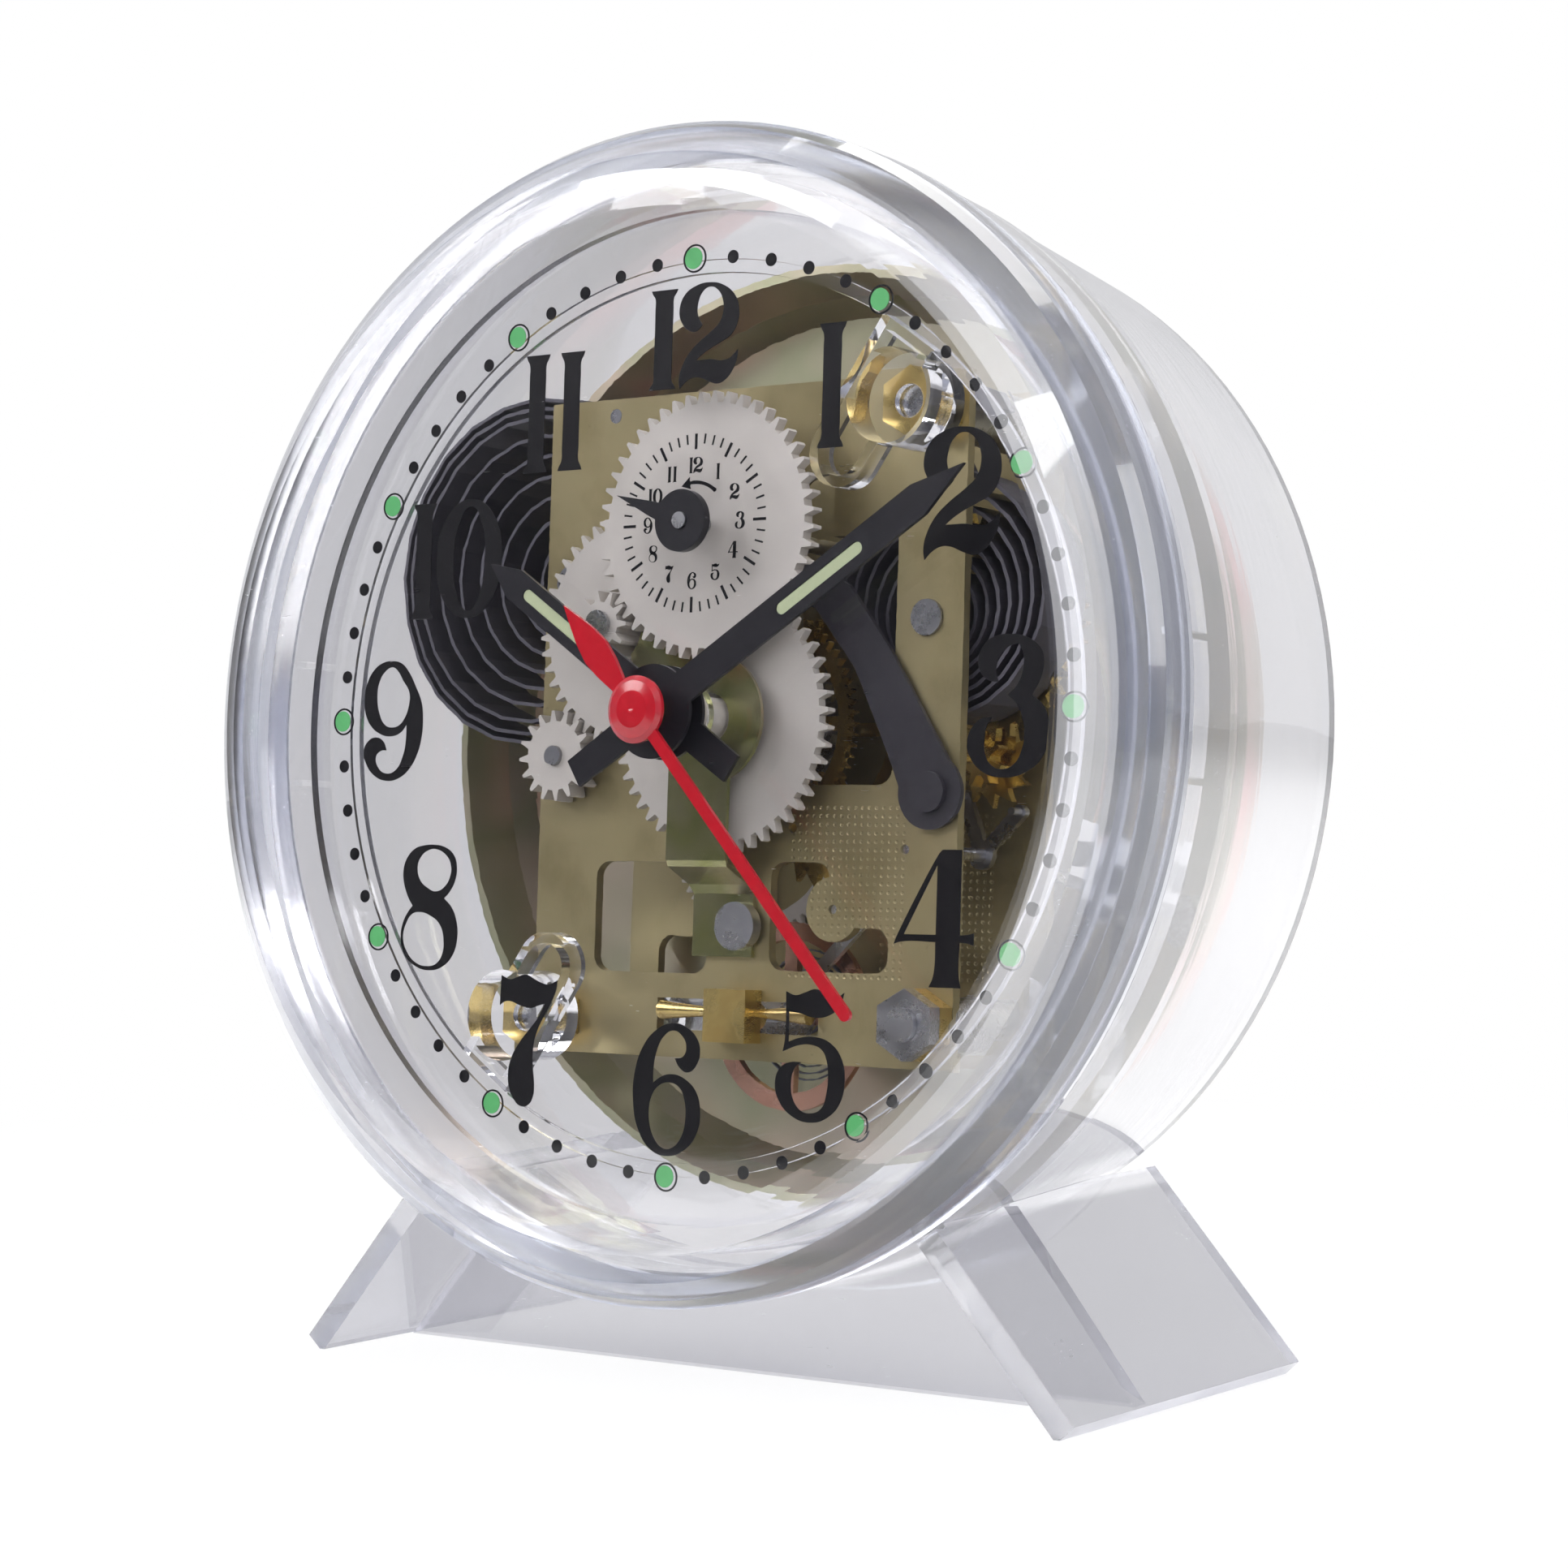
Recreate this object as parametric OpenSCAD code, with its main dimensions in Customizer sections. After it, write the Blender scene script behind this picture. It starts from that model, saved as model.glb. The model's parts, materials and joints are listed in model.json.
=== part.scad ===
// Wind-up alarm clock with a clear case, built as an assembly of its real pieces.
// The movement is laid out about the dial axis: x to the right, y to the rear, z up.
// One wrapper then leans the whole clock back on its feet. All sizes are in millimetres.

/* [Case] */
// Outer radius of the rim at the front of the crystal
rim_r = 52.2; // [45:0.1:60]
// Outer radius of the drum where it leaves the collar
drum_front_r = 50.9; // [44:0.1:58]
// Outer radius of the drum at its back
drum_back_r = 48.4; // [42:0.1:56]
// Plane of the outside of the back
back_y = 33.4; // [28:0.1:40]
// Wall thickness of the drum
case_wall = 1.9; // [1.2:0.1:3]
// Angle that the clock leans back
lean = 3.7; // [0:0.1:8]
// Height of the dial centre over the table
dial_height = 59.7; // [55:0.1:70]
// Front end of the feet
foot_front = -3.8; // [-8:0.1:0]
// Length of the feet from front to rear
foot_length = 38.4; // [30:0.1:45]
// Thickness of the feet
foot_thick = 2.3; // [1.5:0.1:4]
// Half the distance between the outer edges of the feet
foot_reach = 42.75; // [38:0.1:50]
// Thickness of the web between the feet
web_thick = 2; // [1:0.1:3]

/* [Crystal and dial] */
// Front face of the crystal
crystal_front = -10.4; // [-14:0.1:-9]
// Thickness of the crystal
crystal_thick = 1.8; // [1:0.1:3]
// Outer radius of the dial plate
dial_r = 45.4; // [40:0.1:46.5]
// Thickness of the dial plate
dial_thick = 1.6; // [1:0.1:2.5]
// Radius of the raised ring behind the dial
dial_ring_r = 39.8; // [35:0.1:42]
// Radius of the two dial posts
dial_post_r = 4.2; // [2.5:0.1:5]

/* [Hands] */
// Length of the minute hand from the dial centre
minute_length = 38; // [30:0.1:42]
// Length of the hour hand from the dial centre
hour_length = 25.4; // [18:0.1:30]
// Length of the second hand from the dial centre
second_length = 35.5; // [28:0.1:40]
// Length of the alarm hand from its own centre
alarm_hand_length = 8.1; // [6:0.1:12]
// Width of the minute and hour hands
hand_w = 3; // [2:0.1:5]
// Thickness of the hands
hand_thick = 0.4; // [0.2:0.05:0.8]

/* [Movement frame] */
// Front face of the front plate
front_plate_y = 9.5; // [8.5:0.1:11]
// Front face of the back plate
back_plate_y = 23.8; // [22:0.1:26]
// Thickness of both plates
plate_thick = 1; // [0.7:0.1:1.5]
// Half the height of the plates
plate_half_h = 30.7; // [28:0.1:34]
// Radius of the pillars
pillar_r = 2.5; // [1.5:0.1:3]
// Radius of the threads on the pillars
stud_r = 1.5; // [1:0.05:2]
// Width of the nuts across their flats
nut_af = 5.5; // [4.5:0.1:7]

/* [Wheels] */
// Distance from the dial centre to the minute wheel's stud, also its distance to the setting arbor
motion_spacing = 14.39; // [13.9:0.01:15]
// Distance from the dial centre to the intermediate arbor
inter_spacing = 11.6; // [11.4:0.05:12]
// Distance from the dial centre to the third and the escape arbors
third_spacing = 11.475; // [11.4:0.005:11.8]
// Distance from the alarm winding arbor to the star wheel's arbor
star_spacing = 12; // [11.5:0.1:13]
// Height of the alarm setting spindle above the dial centre
alarm_centre_z = 17.3; // [16.9:0.1:18]
// Thickness of the brass train wheels
wheel_thick = 0.8; // [0.5:0.1:1.2]
// Radius of the balance wheel
balance_r = 8.7; // [7:0.1:9.5]

/* [Springs] */
// Width of both mainsprings along their arbors
mainspring_w = 6; // [4:0.1:7]
// Thickness of the mainspring strip
mainspring_thick = 0.34; // [0.2:0.01:0.4]
// Radius of the outermost turn of the time mainspring
time_coil_r = 16.8; // [16:0.1:18]
// Radius of the outermost turn of the alarm mainspring
alarm_coil_r = 11.3; // [10:0.1:12]
// Radius of the outermost turn of the hairspring
hairspring_r = 6.2; // [5.5:0.1:7]

/* [Bell] */
// Radius of the bell at its open rim
bell_r = 43.2; // [38:0.1:44.5]
// Plane of the bell's open rim
bell_front = 21; // [19:0.1:24]
// Depth of the bell
bell_depth = 7.8; // [5:0.1:8.5]
// Thickness of the bell's sheet
bell_thick = 0.8; // [0.5:0.1:1.2]

/* [Backs and keys] */
// Radius of the setting knobs
knob_r = 5.2; // [4:0.1:6.5]
// Depth of the setting knobs
knob_depth = 6; // [4:0.1:9]
// Reach of each wing of the winding keys from their arbor
key_reach = 8; // [6:0.1:10]
// Depth of the winding keys behind the back
key_depth = 11; // [8:0.1:14]

/* [Hidden] */
$fn = 96;
cut = 1;
fit = 0.03;
seat = 0.05;
air = 0.3;

// Places of the pieces about the dial axis, x and z
centre_at = [0, 0];
alarm_at = [0, alarm_centre_z];
time_at = [-20.5, 13.5];
alarm_wind_at = [20.2, 8.9];
pallet_at = [10.9, -16.9];
balance_at = [1, -26.7];
hammer_at = [18.5, -11.5];
stop_at = [27, -11.5];
rivet_at = [21.4, -6.5];
leaf_screw_at = [1.2, -18.6];
spring_post_at = [-15.8, 29.1];
pillar_at = [[20.6, 27.4], [21.2, -26.8], [-20.6, -27.4]];

// Counts of teeth
cannon_n = 16;
minute_n = 44;
minute_pinion_n = 11;
hour_n = 48;
setting_n = 16;
great_n = 54;
inter_pinion_n = 12;
inter_n = 20;
centre_pinion_n = 12;
centre_n = 64;
third_pinion_n = 8;
third_n = 60;
fourth_pinion_n = 8;
fourth_n = 56;
escape_pinion_n = 7;
escape_n = 15;
alarm_great_n = 40;
star_pinion_n = 8;
star_n = 12;
ratchet_n = 16;

function polar(r, a) = [r * cos(a), r * sin(a)];
function way(p, q) = atan2(q[1] - p[1], q[0] - p[0]);
function spot_between(p, r, q, s) =
    let (d = norm(q - p), k = (r * r - s * s + d * d) / (2 * d), h = sqrt(r * r - k * k), u = (q - p) / d)
    p + k * u + h * [-u[1], u[0]];
// Angle of a tooth of the driven wheel, so that the pair is in mesh at rest
function mesh(phase, dir, n1, n2) = dir + 180 + (dir - phase) * n1 / n2 + 180 / n2;
function gear_module(a, n1, n2) = 2 * a / (n1 + n2);

minute_at = spot_between(centre_at, motion_spacing, alarm_at, motion_spacing);
setting_dir = 234.3;
setting_at = minute_at + polar(motion_spacing, setting_dir);
inter_dir = way(centre_at, time_at);
inter_at = centre_at + polar(inter_spacing, inter_dir);
third_dir = 231.9;
third_at = centre_at + polar(third_spacing, third_dir);
escape_dir = way(centre_at, pallet_at);
escape_at = centre_at + polar(third_spacing, escape_dir);
star_dir = 271;
star_at = alarm_wind_at + polar(star_spacing, star_dir);

cannon_m = gear_module(motion_spacing, cannon_n, minute_n);
hour_m = gear_module(motion_spacing, minute_pinion_n, hour_n);
setting_m = gear_module(motion_spacing, setting_n, minute_n);
great_m = gear_module(norm(time_at - inter_at), great_n, inter_pinion_n);
inter_m = gear_module(inter_spacing, inter_n, centre_pinion_n);
centre_m = gear_module(third_spacing, centre_n, third_pinion_n);
third_m = gear_module(third_spacing, third_n, fourth_pinion_n);
fourth_m = gear_module(third_spacing, fourth_n, escape_pinion_n);
alarm_m = gear_module(star_spacing, alarm_great_n, star_pinion_n);

// Phases of the wheels at rest
cannon_phase = 0;
minute_phase = mesh(cannon_phase, way(centre_at, minute_at), cannon_n, minute_n);
minute_pinion_phase = 0;
hour_phase = mesh(minute_pinion_phase, way(minute_at, centre_at), minute_pinion_n, hour_n);
alarm_phase = mesh(minute_pinion_phase, way(minute_at, alarm_at), minute_pinion_n, hour_n);
setting_phase = mesh(minute_phase, setting_dir, minute_n, setting_n);
centre_phase = 0;
centre_pinion_phase = 0;
inter_phase = mesh(centre_pinion_phase, inter_dir, centre_pinion_n, inter_n);
inter_pinion_phase = 0;
great_phase = mesh(inter_pinion_phase, way(inter_at, time_at), inter_pinion_n, great_n);
third_pinion_phase = mesh(centre_phase, third_dir, centre_n, third_pinion_n);
third_phase = 0;
fourth_pinion_phase = mesh(third_phase, way(third_at, centre_at), third_n, fourth_pinion_n);
fourth_phase = 0;
escape_pinion_phase = mesh(fourth_phase, escape_dir, fourth_n, escape_pinion_n);
alarm_great_phase = 0;
star_pinion_phase = mesh(alarm_great_phase, star_dir, alarm_great_n, star_pinion_n);

// Tooth outline as shares of the module and of the pitch
addendum_share = 0.9;
dedendum_share = 1.2;
tooth_shares = [-0.29, -0.09, 0.09, 0.29];

// Planes and radii that more than one piece uses
lens_back = 0.5;
collar_front = lens_back + seat;
collar_end = 9;
lens_bore_r = 47.7;
skirt_r = 48.7;
skirt_wall = 1.3;
skirt_end = 5.5;
cavity_r = skirt_r + air;
back_inner = back_y - case_wall;
back_edge = 1.5;
crystal_back = crystal_front + crystal_thick;
crystal_corner = 45.5;

back_plate_end = back_plate_y + plate_thick;
front_plate_end = front_plate_y + plate_thick;
hex_front = 7.6;
nut_front = 6;
post_end = hex_front - seat;
pivot_r = 0.4;
arbor_r = 0.6;
seconds_r = 0.45;
tube_inner_r = 0.5;
tube_r = 0.95;
cannon_r = 1.4;
hour_pipe_inner_r = cannon_r + 2 * fit;
hour_pipe_r = 1.9;
spindle_r = 0.75;
winding_r = 1.6;
setting_r = 0.9;

minute_hand_y = -4.2;
hour_hand_y = -2.3;
second_hand_y = -6.6;
alarm_hand_y = -0.7;
hand_hub_r = 4.2;

minute_wheel_y = 7.6;
hour_wheel_y = 6.3;
alarm_wheel_y = 3.2;
motion_thick = 1;
alarm_wheel_thick = 1.2;
leaf_y = 4.7;
leaf_thick = 0.4;
lever_y = 8.75;
lever_thick = 0.5;

centre_wheel_y = 12.6;
escape_wheel_y = 14;
fork_y = 15.2;
time_spring_y = 11;
alarm_spring_y = 11.5;
balance_y = 17;
great_y = 17.9;
alarm_great_y = 18.2;
inter_y = 19.2;
fourth_y = 20.8;
hairspring_y = 19.6;
third_y = 22.2;
star_y = 20.4;
ratchet_y = great_y + wheel_thick + 2 * seat;
ratchet_thick = 0.7;
alarm_ratchet_y = alarm_great_y + wheel_thick + 2 * seat;

// The clock stands centred between the front of its crystal and the end of its keys
screw_head = 1.8;
key_start = back_y + 1.2 * screw_head;
key_wing = 1.6;
time_key_dir = 20;
alarm_key_dir = -35;
front_reach = crystal_front * cos(lean) - crystal_corner * sin(lean);
rear_reach = (key_start + key_depth) * cos(lean)
    + (time_at[1] + key_reach * sin(time_key_dir) + key_wing / 2 * cos(time_key_dir)) * sin(lean);
middle_y = (front_reach + rear_reach) / 2;

// Shape seen from the front, filling the depth from y0 to y1
module slab(y0, y1) {
    translate([0, y1, 0])
        rotate([90, 0, 0])
            linear_extrude(y1 - y0)
                children();
}

// Round rod along the dial axis
module rod(at, y0, y1, r) {
    translate([at[0], y1, at[1]])
        rotate([90, 0, 0])
            cylinder(h = y1 - y0, r = r);
}

// Outline of radius and depth, turned about the dial axis
module lathe(outline) {
    rotate([90, 0, 0])
        rotate_extrude()
            polygon([for (p = outline) [p[0], -p[1]]]);
}

module at_spot(at) {
    translate([at[0], 0, at[1]])
        children();
}

module lean_back() {
    translate([0, -middle_y, dial_height])
        rotate([-lean, 0, 0])
            children();
}

module teeth(n, m, phase) {
    outer = m * (n / 2 + addendum_share);
    inner = m * (n / 2 - dedendum_share);
    polygon([for (i = [0 : n - 1]) for (k = [0 : 3])
        polar(k == 0 || k == 3 ? inner : outer, phase + (i + tooth_shares[k]) * 360 / n)]);
}

module gear(at, y0, y1, n, m, phase, bore) {
    slab(y0, y1)
        translate(at)
            difference() {
                teeth(n, m, phase);
                circle(r = bore);
            }
}

// Saw teeth that a click holds one way
module saw(n, tip, depth) {
    polygon([for (i = [0 : n - 1]) for (k = [0 : 1])
        polar(k == 0 ? tip : tip - depth, (i + (k == 0 ? 0 : 0.12)) * 360 / n)]);
}

module spokes(inner, outer, w, count) {
    for (i = [0 : count - 1])
        rotate(i * 360 / count)
            translate([inner, -w / 2])
                square([outer - inner, w]);
}

// Ribbon of the given thickness along a row of points
function ribbon(pts, t) =
    let (n = len(pts), d = [for (i = [0 : n - 1])
        let (v = pts[min(i + 1, n - 1)] - pts[max(i - 1, 0)]) [-v[1], v[0]] / norm(v)])
    concat([for (i = [0 : n - 1]) pts[i] + d[i] * t / 2],
        [for (i = [n - 1 : -1 : 0]) pts[i] - d[i] * t / 2]);

// Turns of a coil from the arbor outwards: radius and centre grow with the angle
function coil(at, r0, r1, drift, turns, hand, steps) =
    [for (i = [0 : turns * steps])
        let (s = i / (turns * steps))
        at + drift * s + polar(r0 + (r1 - r0) * s, 90 + hand * i * 360 / steps)];

function least_gap(pts, apart, t) =
    min([for (i = [0 : len(pts) - 1]) for (k = [i + apart : len(pts) - 1]) norm(pts[i] - pts[k])]) - t;

// The case

drum_outline = [[0, collar_front], [rim_r - air, collar_front], [rim_r - cut, collar_end],
    [drum_front_r, collar_end + collar_front], [drum_back_r, back_inner],
    [drum_back_r - back_edge, back_y], [0, back_y]];
cavity_outline = [[0, collar_front - cut], [cavity_r, collar_front - cut], [cavity_r, collar_end],
    [drum_back_r - case_wall, back_inner], [0, back_inner]];
leg_top = 20;
leg_inner_x = 27;
leg_slope = 41.5;
foot_flat = 0.3;
web_front = 12;
web_lift = 0.5;
boss_r = 3.4;
boss_bore_r = stud_r + fit;
screw_head_r = 3;
bell_seat_y = bell_front + bell_depth;

module leg() {
    // The leg's long axis leans out; its end is cut square and flattened where it rests
    intersection() {
        translate([foot_reach, foot_front + foot_length - middle_y, foot_thick * sin(leg_slope) - foot_flat])
            rotate([90, 0, 0])
                linear_extrude(foot_length)
                    rotate(90 + leg_slope)
                        square([leg_top + foot_thick, foot_thick]);
        translate([0, foot_front - cut - middle_y, 0])
            cube([foot_reach + cut, foot_length + 2 * cut, leg_top + foot_thick]);
    }
}

module legs() {
    leg();
    mirror([1, 0, 0])
        leg();
}

module web() {
    low = web_lift - dial_height;
    slab(web_front, web_front + web_thick)
        polygon([[-foot_reach + foot_thick, low], [foot_reach - foot_thick, low],
            [leg_inner_x, -drum_front_r * cos(32)], [-leg_inner_x, -drum_front_r * cos(32)]]);
}

module rear_case() {
    color([0.9, 0.9, 0.95, 0.35])
        difference() {
            union() {
                legs();
                lean_back() {
                    lathe(drum_outline);
                    web();
                }
            }
            lean_back() {
                difference() {
                    lathe(cavity_outline);
                    for (p = pillar_at)
                        rod(p, back_plate_end + seat, back_y, boss_r);
                    rod(centre_at, bell_seat_y + seat, back_y, boss_r);
                }
                // Room for the rim of the crystal
                difference() {
                    rod(centre_at, foot_front - dial_height, collar_front, rim_r + air);
                    rod(centre_at, collar_front - fit, collar_front, rim_r - air);
                }
                for (p = pillar_at)
                    rod(p, back_plate_y, back_y + cut, boss_bore_r);
                rod(centre_at, back_plate_y, back_y + cut, boss_bore_r);
                for (p = [time_at, alarm_wind_at])
                    rod(p, back_plate_y, back_y + cut, winding_r + air);
                rod(alarm_at, back_plate_y, back_y + cut, spindle_r + air);
                rod(setting_at, back_plate_y, back_y + cut, setting_r + air);
                rod(stop_at, back_plate_y, back_y + cut, stop_r + fit);
                regulator_slot(back_inner - cut, back_y + cut);
            }
        }
}

rim_step = 1;
rim_outline = [[0, crystal_front], [crystal_corner, crystal_front],
    [crystal_corner + 1.5 * rim_step, crystal_front + 0.6 * rim_step],
    [rim_r - 2.7 * rim_step, crystal_front + 2.8 * rim_step],
    [rim_r - 0.8 * rim_step, crystal_front + 4.6 * rim_step],
    [rim_r, crystal_front + 6 * rim_step], [rim_r, -0.6 * rim_step],
    [rim_r - air, lens_back], [skirt_r, lens_back], [skirt_r, skirt_end],
    [skirt_r - skirt_wall, skirt_end], [skirt_r - skirt_wall, crystal_back + 1.5 * rim_step],
    [crystal_corner - 1.5 * rim_step, crystal_back], [0, crystal_back]];
tongue_w = 11.5;
tongue_slit = 0.6;

module front_lens() {
    color([0.92, 0.92, 0.97, 0.3])
        lean_back()
            difference() {
                lathe(rim_outline);
                // Slits beside the snap tongues at 3 and 9 o'clock
                for (z = [-tongue_w / 2, tongue_w / 2])
                    translate([-rim_r, lens_back + air, z - tongue_slit / 2])
                        cube([2 * rim_r, skirt_end, tongue_slit]);
            }
}

dial_ring_w = 1.2;
dial_ring_end = 2.2;
loop_dir = 55.3;
loop_outer_r = 3.15;
loop_wall = 1;
loop_depth = 2.2;
boss_along = 27.7;
loop_boss_r = 2;
spigot_end = 8.7;
spigot_r = stud_r - fit;
dial_centre_hole = 3;

module dial_post(at) {
    rod(at, dial_thick - seat, post_end, dial_post_r);
    rod(at, post_end - seat, spigot_end, spigot_r);
}

module dial_loop(dir) {
    slab(dial_thick - seat, dial_thick + loop_depth)
        rotate(dir)
            difference() {
                union() {
                    translate([boss_along, 0])
                        circle(r = loop_outer_r);
                    translate([boss_along, -loop_outer_r])
                        square([dial_ring_r - boss_along, 2 * loop_outer_r]);
                }
                translate([boss_along, 0])
                    circle(r = loop_outer_r - loop_wall);
                translate([boss_along, loop_wall - loop_outer_r])
                    square([dial_ring_r - boss_along - loop_wall, 2 * (loop_outer_r - loop_wall)]);
            }
}

module dial() {
    color([0.93, 0.93, 0.97, 0.3])
        lean_back()
            difference() {
                union() {
                    rod(centre_at, 0, dial_thick, dial_r);
                    lathe([[dial_ring_r, dial_thick - seat], [dial_ring_r + dial_ring_w, dial_thick - seat],
                        [dial_ring_r + dial_ring_w, dial_ring_end], [dial_ring_r, dial_ring_end]]);
                    dial_post(pillar_at[0]);
                    dial_post(pillar_at[2]);
                    dial_loop(loop_dir);
                    dial_loop(loop_dir + 180);
                }
                rod(centre_at, -cut, dial_thick + cut, dial_centre_hole);
                rod(alarm_at, -cut, dial_thick + cut, alarm_collar_r + air);
            }
}

module case_screws() {
    color("silver")
        lean_back()
            for (p = pillar_at)
                difference() {
                    union() {
                        rod(p, back_plate_y - pillar_tap + cut, back_y + screw_head, stud_r);
                        rod(p, back_y + seat, back_y + screw_head, screw_head_r);
                    }
                    translate([p[0] - screw_head_r - cut, back_y + screw_head / 2, p[1] - screw_slot / 2])
                        cube([2 * (screw_head_r + cut), screw_head, screw_slot]);
                }
}
screw_slot = 0.8;
pillar_tap = 6;

// The hands

minute_angle = 90 - 58;
hour_angle = 90 - 303.9;
second_angle = 90 - 137.9;
alarm_angle = 160.7;
minute_tail = 10.3;
hour_tail = 9;
slit_share = 0.38;
tip_shares = [0.86, 0.45];

module hand_2d(reach, tail, w, slit_from, slit_to) {
    difference() {
        union() {
            circle(r = hand_hub_r);
            polygon([[0, -w / 2], [reach * tip_shares[0], -w / 2], [reach, 0], [reach * tip_shares[0], w / 2],
                [0, w / 2], [-tail, w * tip_shares[1]], [-tail, -w * tip_shares[1]]]);
        }
        circle(r = cannon_r + fit);
        bar([slit_from, 0], [slit_to, 0], w * slit_share);
        for (x = [slit_from, slit_to])
            translate([x, 0])
                circle(r = w * slit_share / 2);
    }
}

module minute_hand() {
    color([0.13, 0.13, 0.15])
        lean_back()
            slab(minute_hand_y, minute_hand_y + hand_thick)
                rotate(minute_angle)
                    hand_2d(minute_length, minute_tail, hand_w, minute_length * 0.43, minute_length * 0.67);
}

module hour_hand() {
    color([0.13, 0.13, 0.15])
        lean_back()
            difference() {
                slab(hour_hand_y, hour_hand_y + hand_thick)
                    rotate(hour_angle)
                        hand_2d(hour_length, hour_tail, hand_w, hour_length * 0.42, hour_length * 0.78);
                rod(centre_at, hour_hand_y - cut, hour_hand_y + cut, hour_pipe_r + fit);
            }
}

second_cap_r = 3;
second_cap = 0.6;
second_pipe_r = 0.9;
second_pipe = 1.6;
second_w = 1.1;
leaf_to = 12.7;
// Half of the tail leaf's outline, as shares of its length and its width in mm
leaf_outline = [[0.2, 0.7], [0.4, 1.25], [0.55, 1.45], [0.7, 1.15], [0.85, 0.6], [1, 0]];
cap_outline = [[0, -1], [0.55, -0.85], [0.85, -0.5], [1, 0], [1, 0.6], [0, 0.6]];

module second_hand() {
    color([0.8, 0.1, 0.15])
        lean_back()
            difference() {
                union() {
                    slab(second_hand_y, second_hand_y + hand_thick)
                        rotate(second_angle)
                            union() {
                                translate([-leaf_to * 0.7, -second_w / 2])
                                    square([second_length + leaf_to * 0.7 - second_w / 2, second_w]);
                                translate([second_length - second_w / 2, 0])
                                    circle(r = second_w / 2);
                                polygon([for (p = leaf_outline) [-leaf_to * p[0], p[1]],
                                    for (i = [len(leaf_outline) - 2 : -1 : 0])
                                        [-leaf_to * leaf_outline[i][0], -leaf_outline[i][1]]]);
                            }
                    lathe([for (p = cap_outline) [second_cap_r * p[0], second_hand_y + second_cap * (p[1] + 0.06)]]);
                    rod(centre_at, second_hand_y, second_hand_y + second_pipe, second_pipe_r);
                }
                rod(centre_at, second_hand_y + second_cap / 2, second_hand_y + second_pipe + cut, seconds_r + fit);
            }
}

alarm_hub_r = 2.8;
alarm_collar_r = 1.5;
alarm_hand_w = 1.1;

module alarm_hand() {
    color([0.13, 0.13, 0.15])
        lean_back()
            difference() {
                union() {
                    slab(alarm_hand_y, alarm_hand_y + hand_thick)
                        translate(alarm_at)
                            rotate(alarm_angle)
                                polygon([[0, -alarm_hand_w], [alarm_hand_length * 0.5, -alarm_hand_w * 0.6],
                                    [alarm_hand_length, 0], [alarm_hand_length * 0.5, alarm_hand_w * 0.6],
                                    [0, alarm_hand_w]]);
                    rod(alarm_at, alarm_hand_y - hand_thick, alarm_hand_y + hand_thick, alarm_hub_r);
                    rod(alarm_at, alarm_hand_y - hand_thick, dial_thick, alarm_collar_r);
                }
                rod(alarm_at, alarm_hand_y - cut, dial_thick + cut, spindle_r + fit);
            }
}

// The motion works

cannon_end = 9.2;
pinion_reach = 0.4;
tube_end = 20.5;
minute_stud_r = 0.8;
stud_head_r = 1.3;
minute_bore_r = minute_stud_r + fit;

module cannon_pinion() {
    color([0.72, 0.62, 0.35])
        lean_back()
            difference() {
                union() {
                    rod(centre_at, minute_hand_y - hand_thick, cannon_end, cannon_r);
                    slab(minute_wheel_y, cannon_end)
                        teeth(cannon_n, cannon_m, cannon_phase);
                }
                rod(centre_at, minute_hand_y - cut, cannon_end + cut, tube_r + fit);
            }
}

module minute_wheel() {
    color([0.78, 0.77, 0.76])
        lean_back() {
            difference() {
                union() {
                    slab(minute_wheel_y, minute_wheel_y + motion_thick)
                        translate(minute_at)
                            teeth(minute_n, cannon_m, minute_phase);
                    slab(alarm_wheel_y - pinion_reach, minute_wheel_y + pinion_reach)
                        translate(minute_at)
                            teeth(minute_pinion_n, hour_m, minute_pinion_phase);
                }
                rod(minute_at, alarm_wheel_y - cut, minute_wheel_y + motion_thick + cut, minute_bore_r);
            }
        }
}

module minute_wheel_stud() {
    color([0.75, 0.75, 0.77])
        lean_back() {
            rod(minute_at, alarm_wheel_y - pinion_reach - stud_head, front_plate_end, minute_stud_r);
            rod(minute_at, alarm_wheel_y - pinion_reach - stud_head, alarm_wheel_y - pinion_reach - seat, stud_head_r);
            rod(minute_at, minute_wheel_y + motion_thick + seat, front_plate_y - seat, stud_head_r);
        }
}
stud_head = 0.5;

module hour_wheel() {
    color([0.78, 0.77, 0.76])
        lean_back()
            difference() {
                union() {
                    slab(hour_wheel_y, hour_wheel_y + motion_thick)
                        teeth(hour_n, hour_m, hour_phase);
                    rod(centre_at, hour_hand_y - hand_thick, hour_wheel_y + motion_thick, hour_pipe_r);
                }
                rod(centre_at, hour_hand_y - cut, hour_wheel_y + motion_thick + cut, hour_pipe_inner_r);
            }
}

alarm_hub_end = 7.9;
alarm_wheel_hub_r = 2.4;
cam_r = 3.4;

module alarm_wheel() {
    color([0.78, 0.77, 0.76])
        lean_back()
            difference() {
                union() {
                    slab(alarm_wheel_y, alarm_wheel_y + alarm_wheel_thick)
                        translate(alarm_at)
                            teeth(hour_n, hour_m, alarm_phase);
                    rod(alarm_at, alarm_wheel_y, alarm_hub_end, alarm_wheel_hub_r);
                    rod(alarm_at, alarm_hub_end - wheel_thick, alarm_hub_end, cam_r);
                }
                rod(alarm_at, alarm_wheel_y - cut, alarm_hub_end + cut, spindle_r + fit);
            }
}

setting_pinion_y = 7;
setting_pinion_end = 9.3;

module setting_pinion() {
    color([0.72, 0.62, 0.35])
        lean_back()
            gear(setting_at, setting_pinion_y, setting_pinion_end, setting_n, setting_m, setting_phase, setting_r + fit);
}

leaf_ring_r = 5.9;
leaf_hole_r = 2.3;
strap_x0 = -4.4;
strap_x1 = 2.35;
strap_low = -12.8;
leaf_tip = [-7.2, 6.2];
leaf_tip_r = 2;
leaf_foot_low = -21.4;

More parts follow.
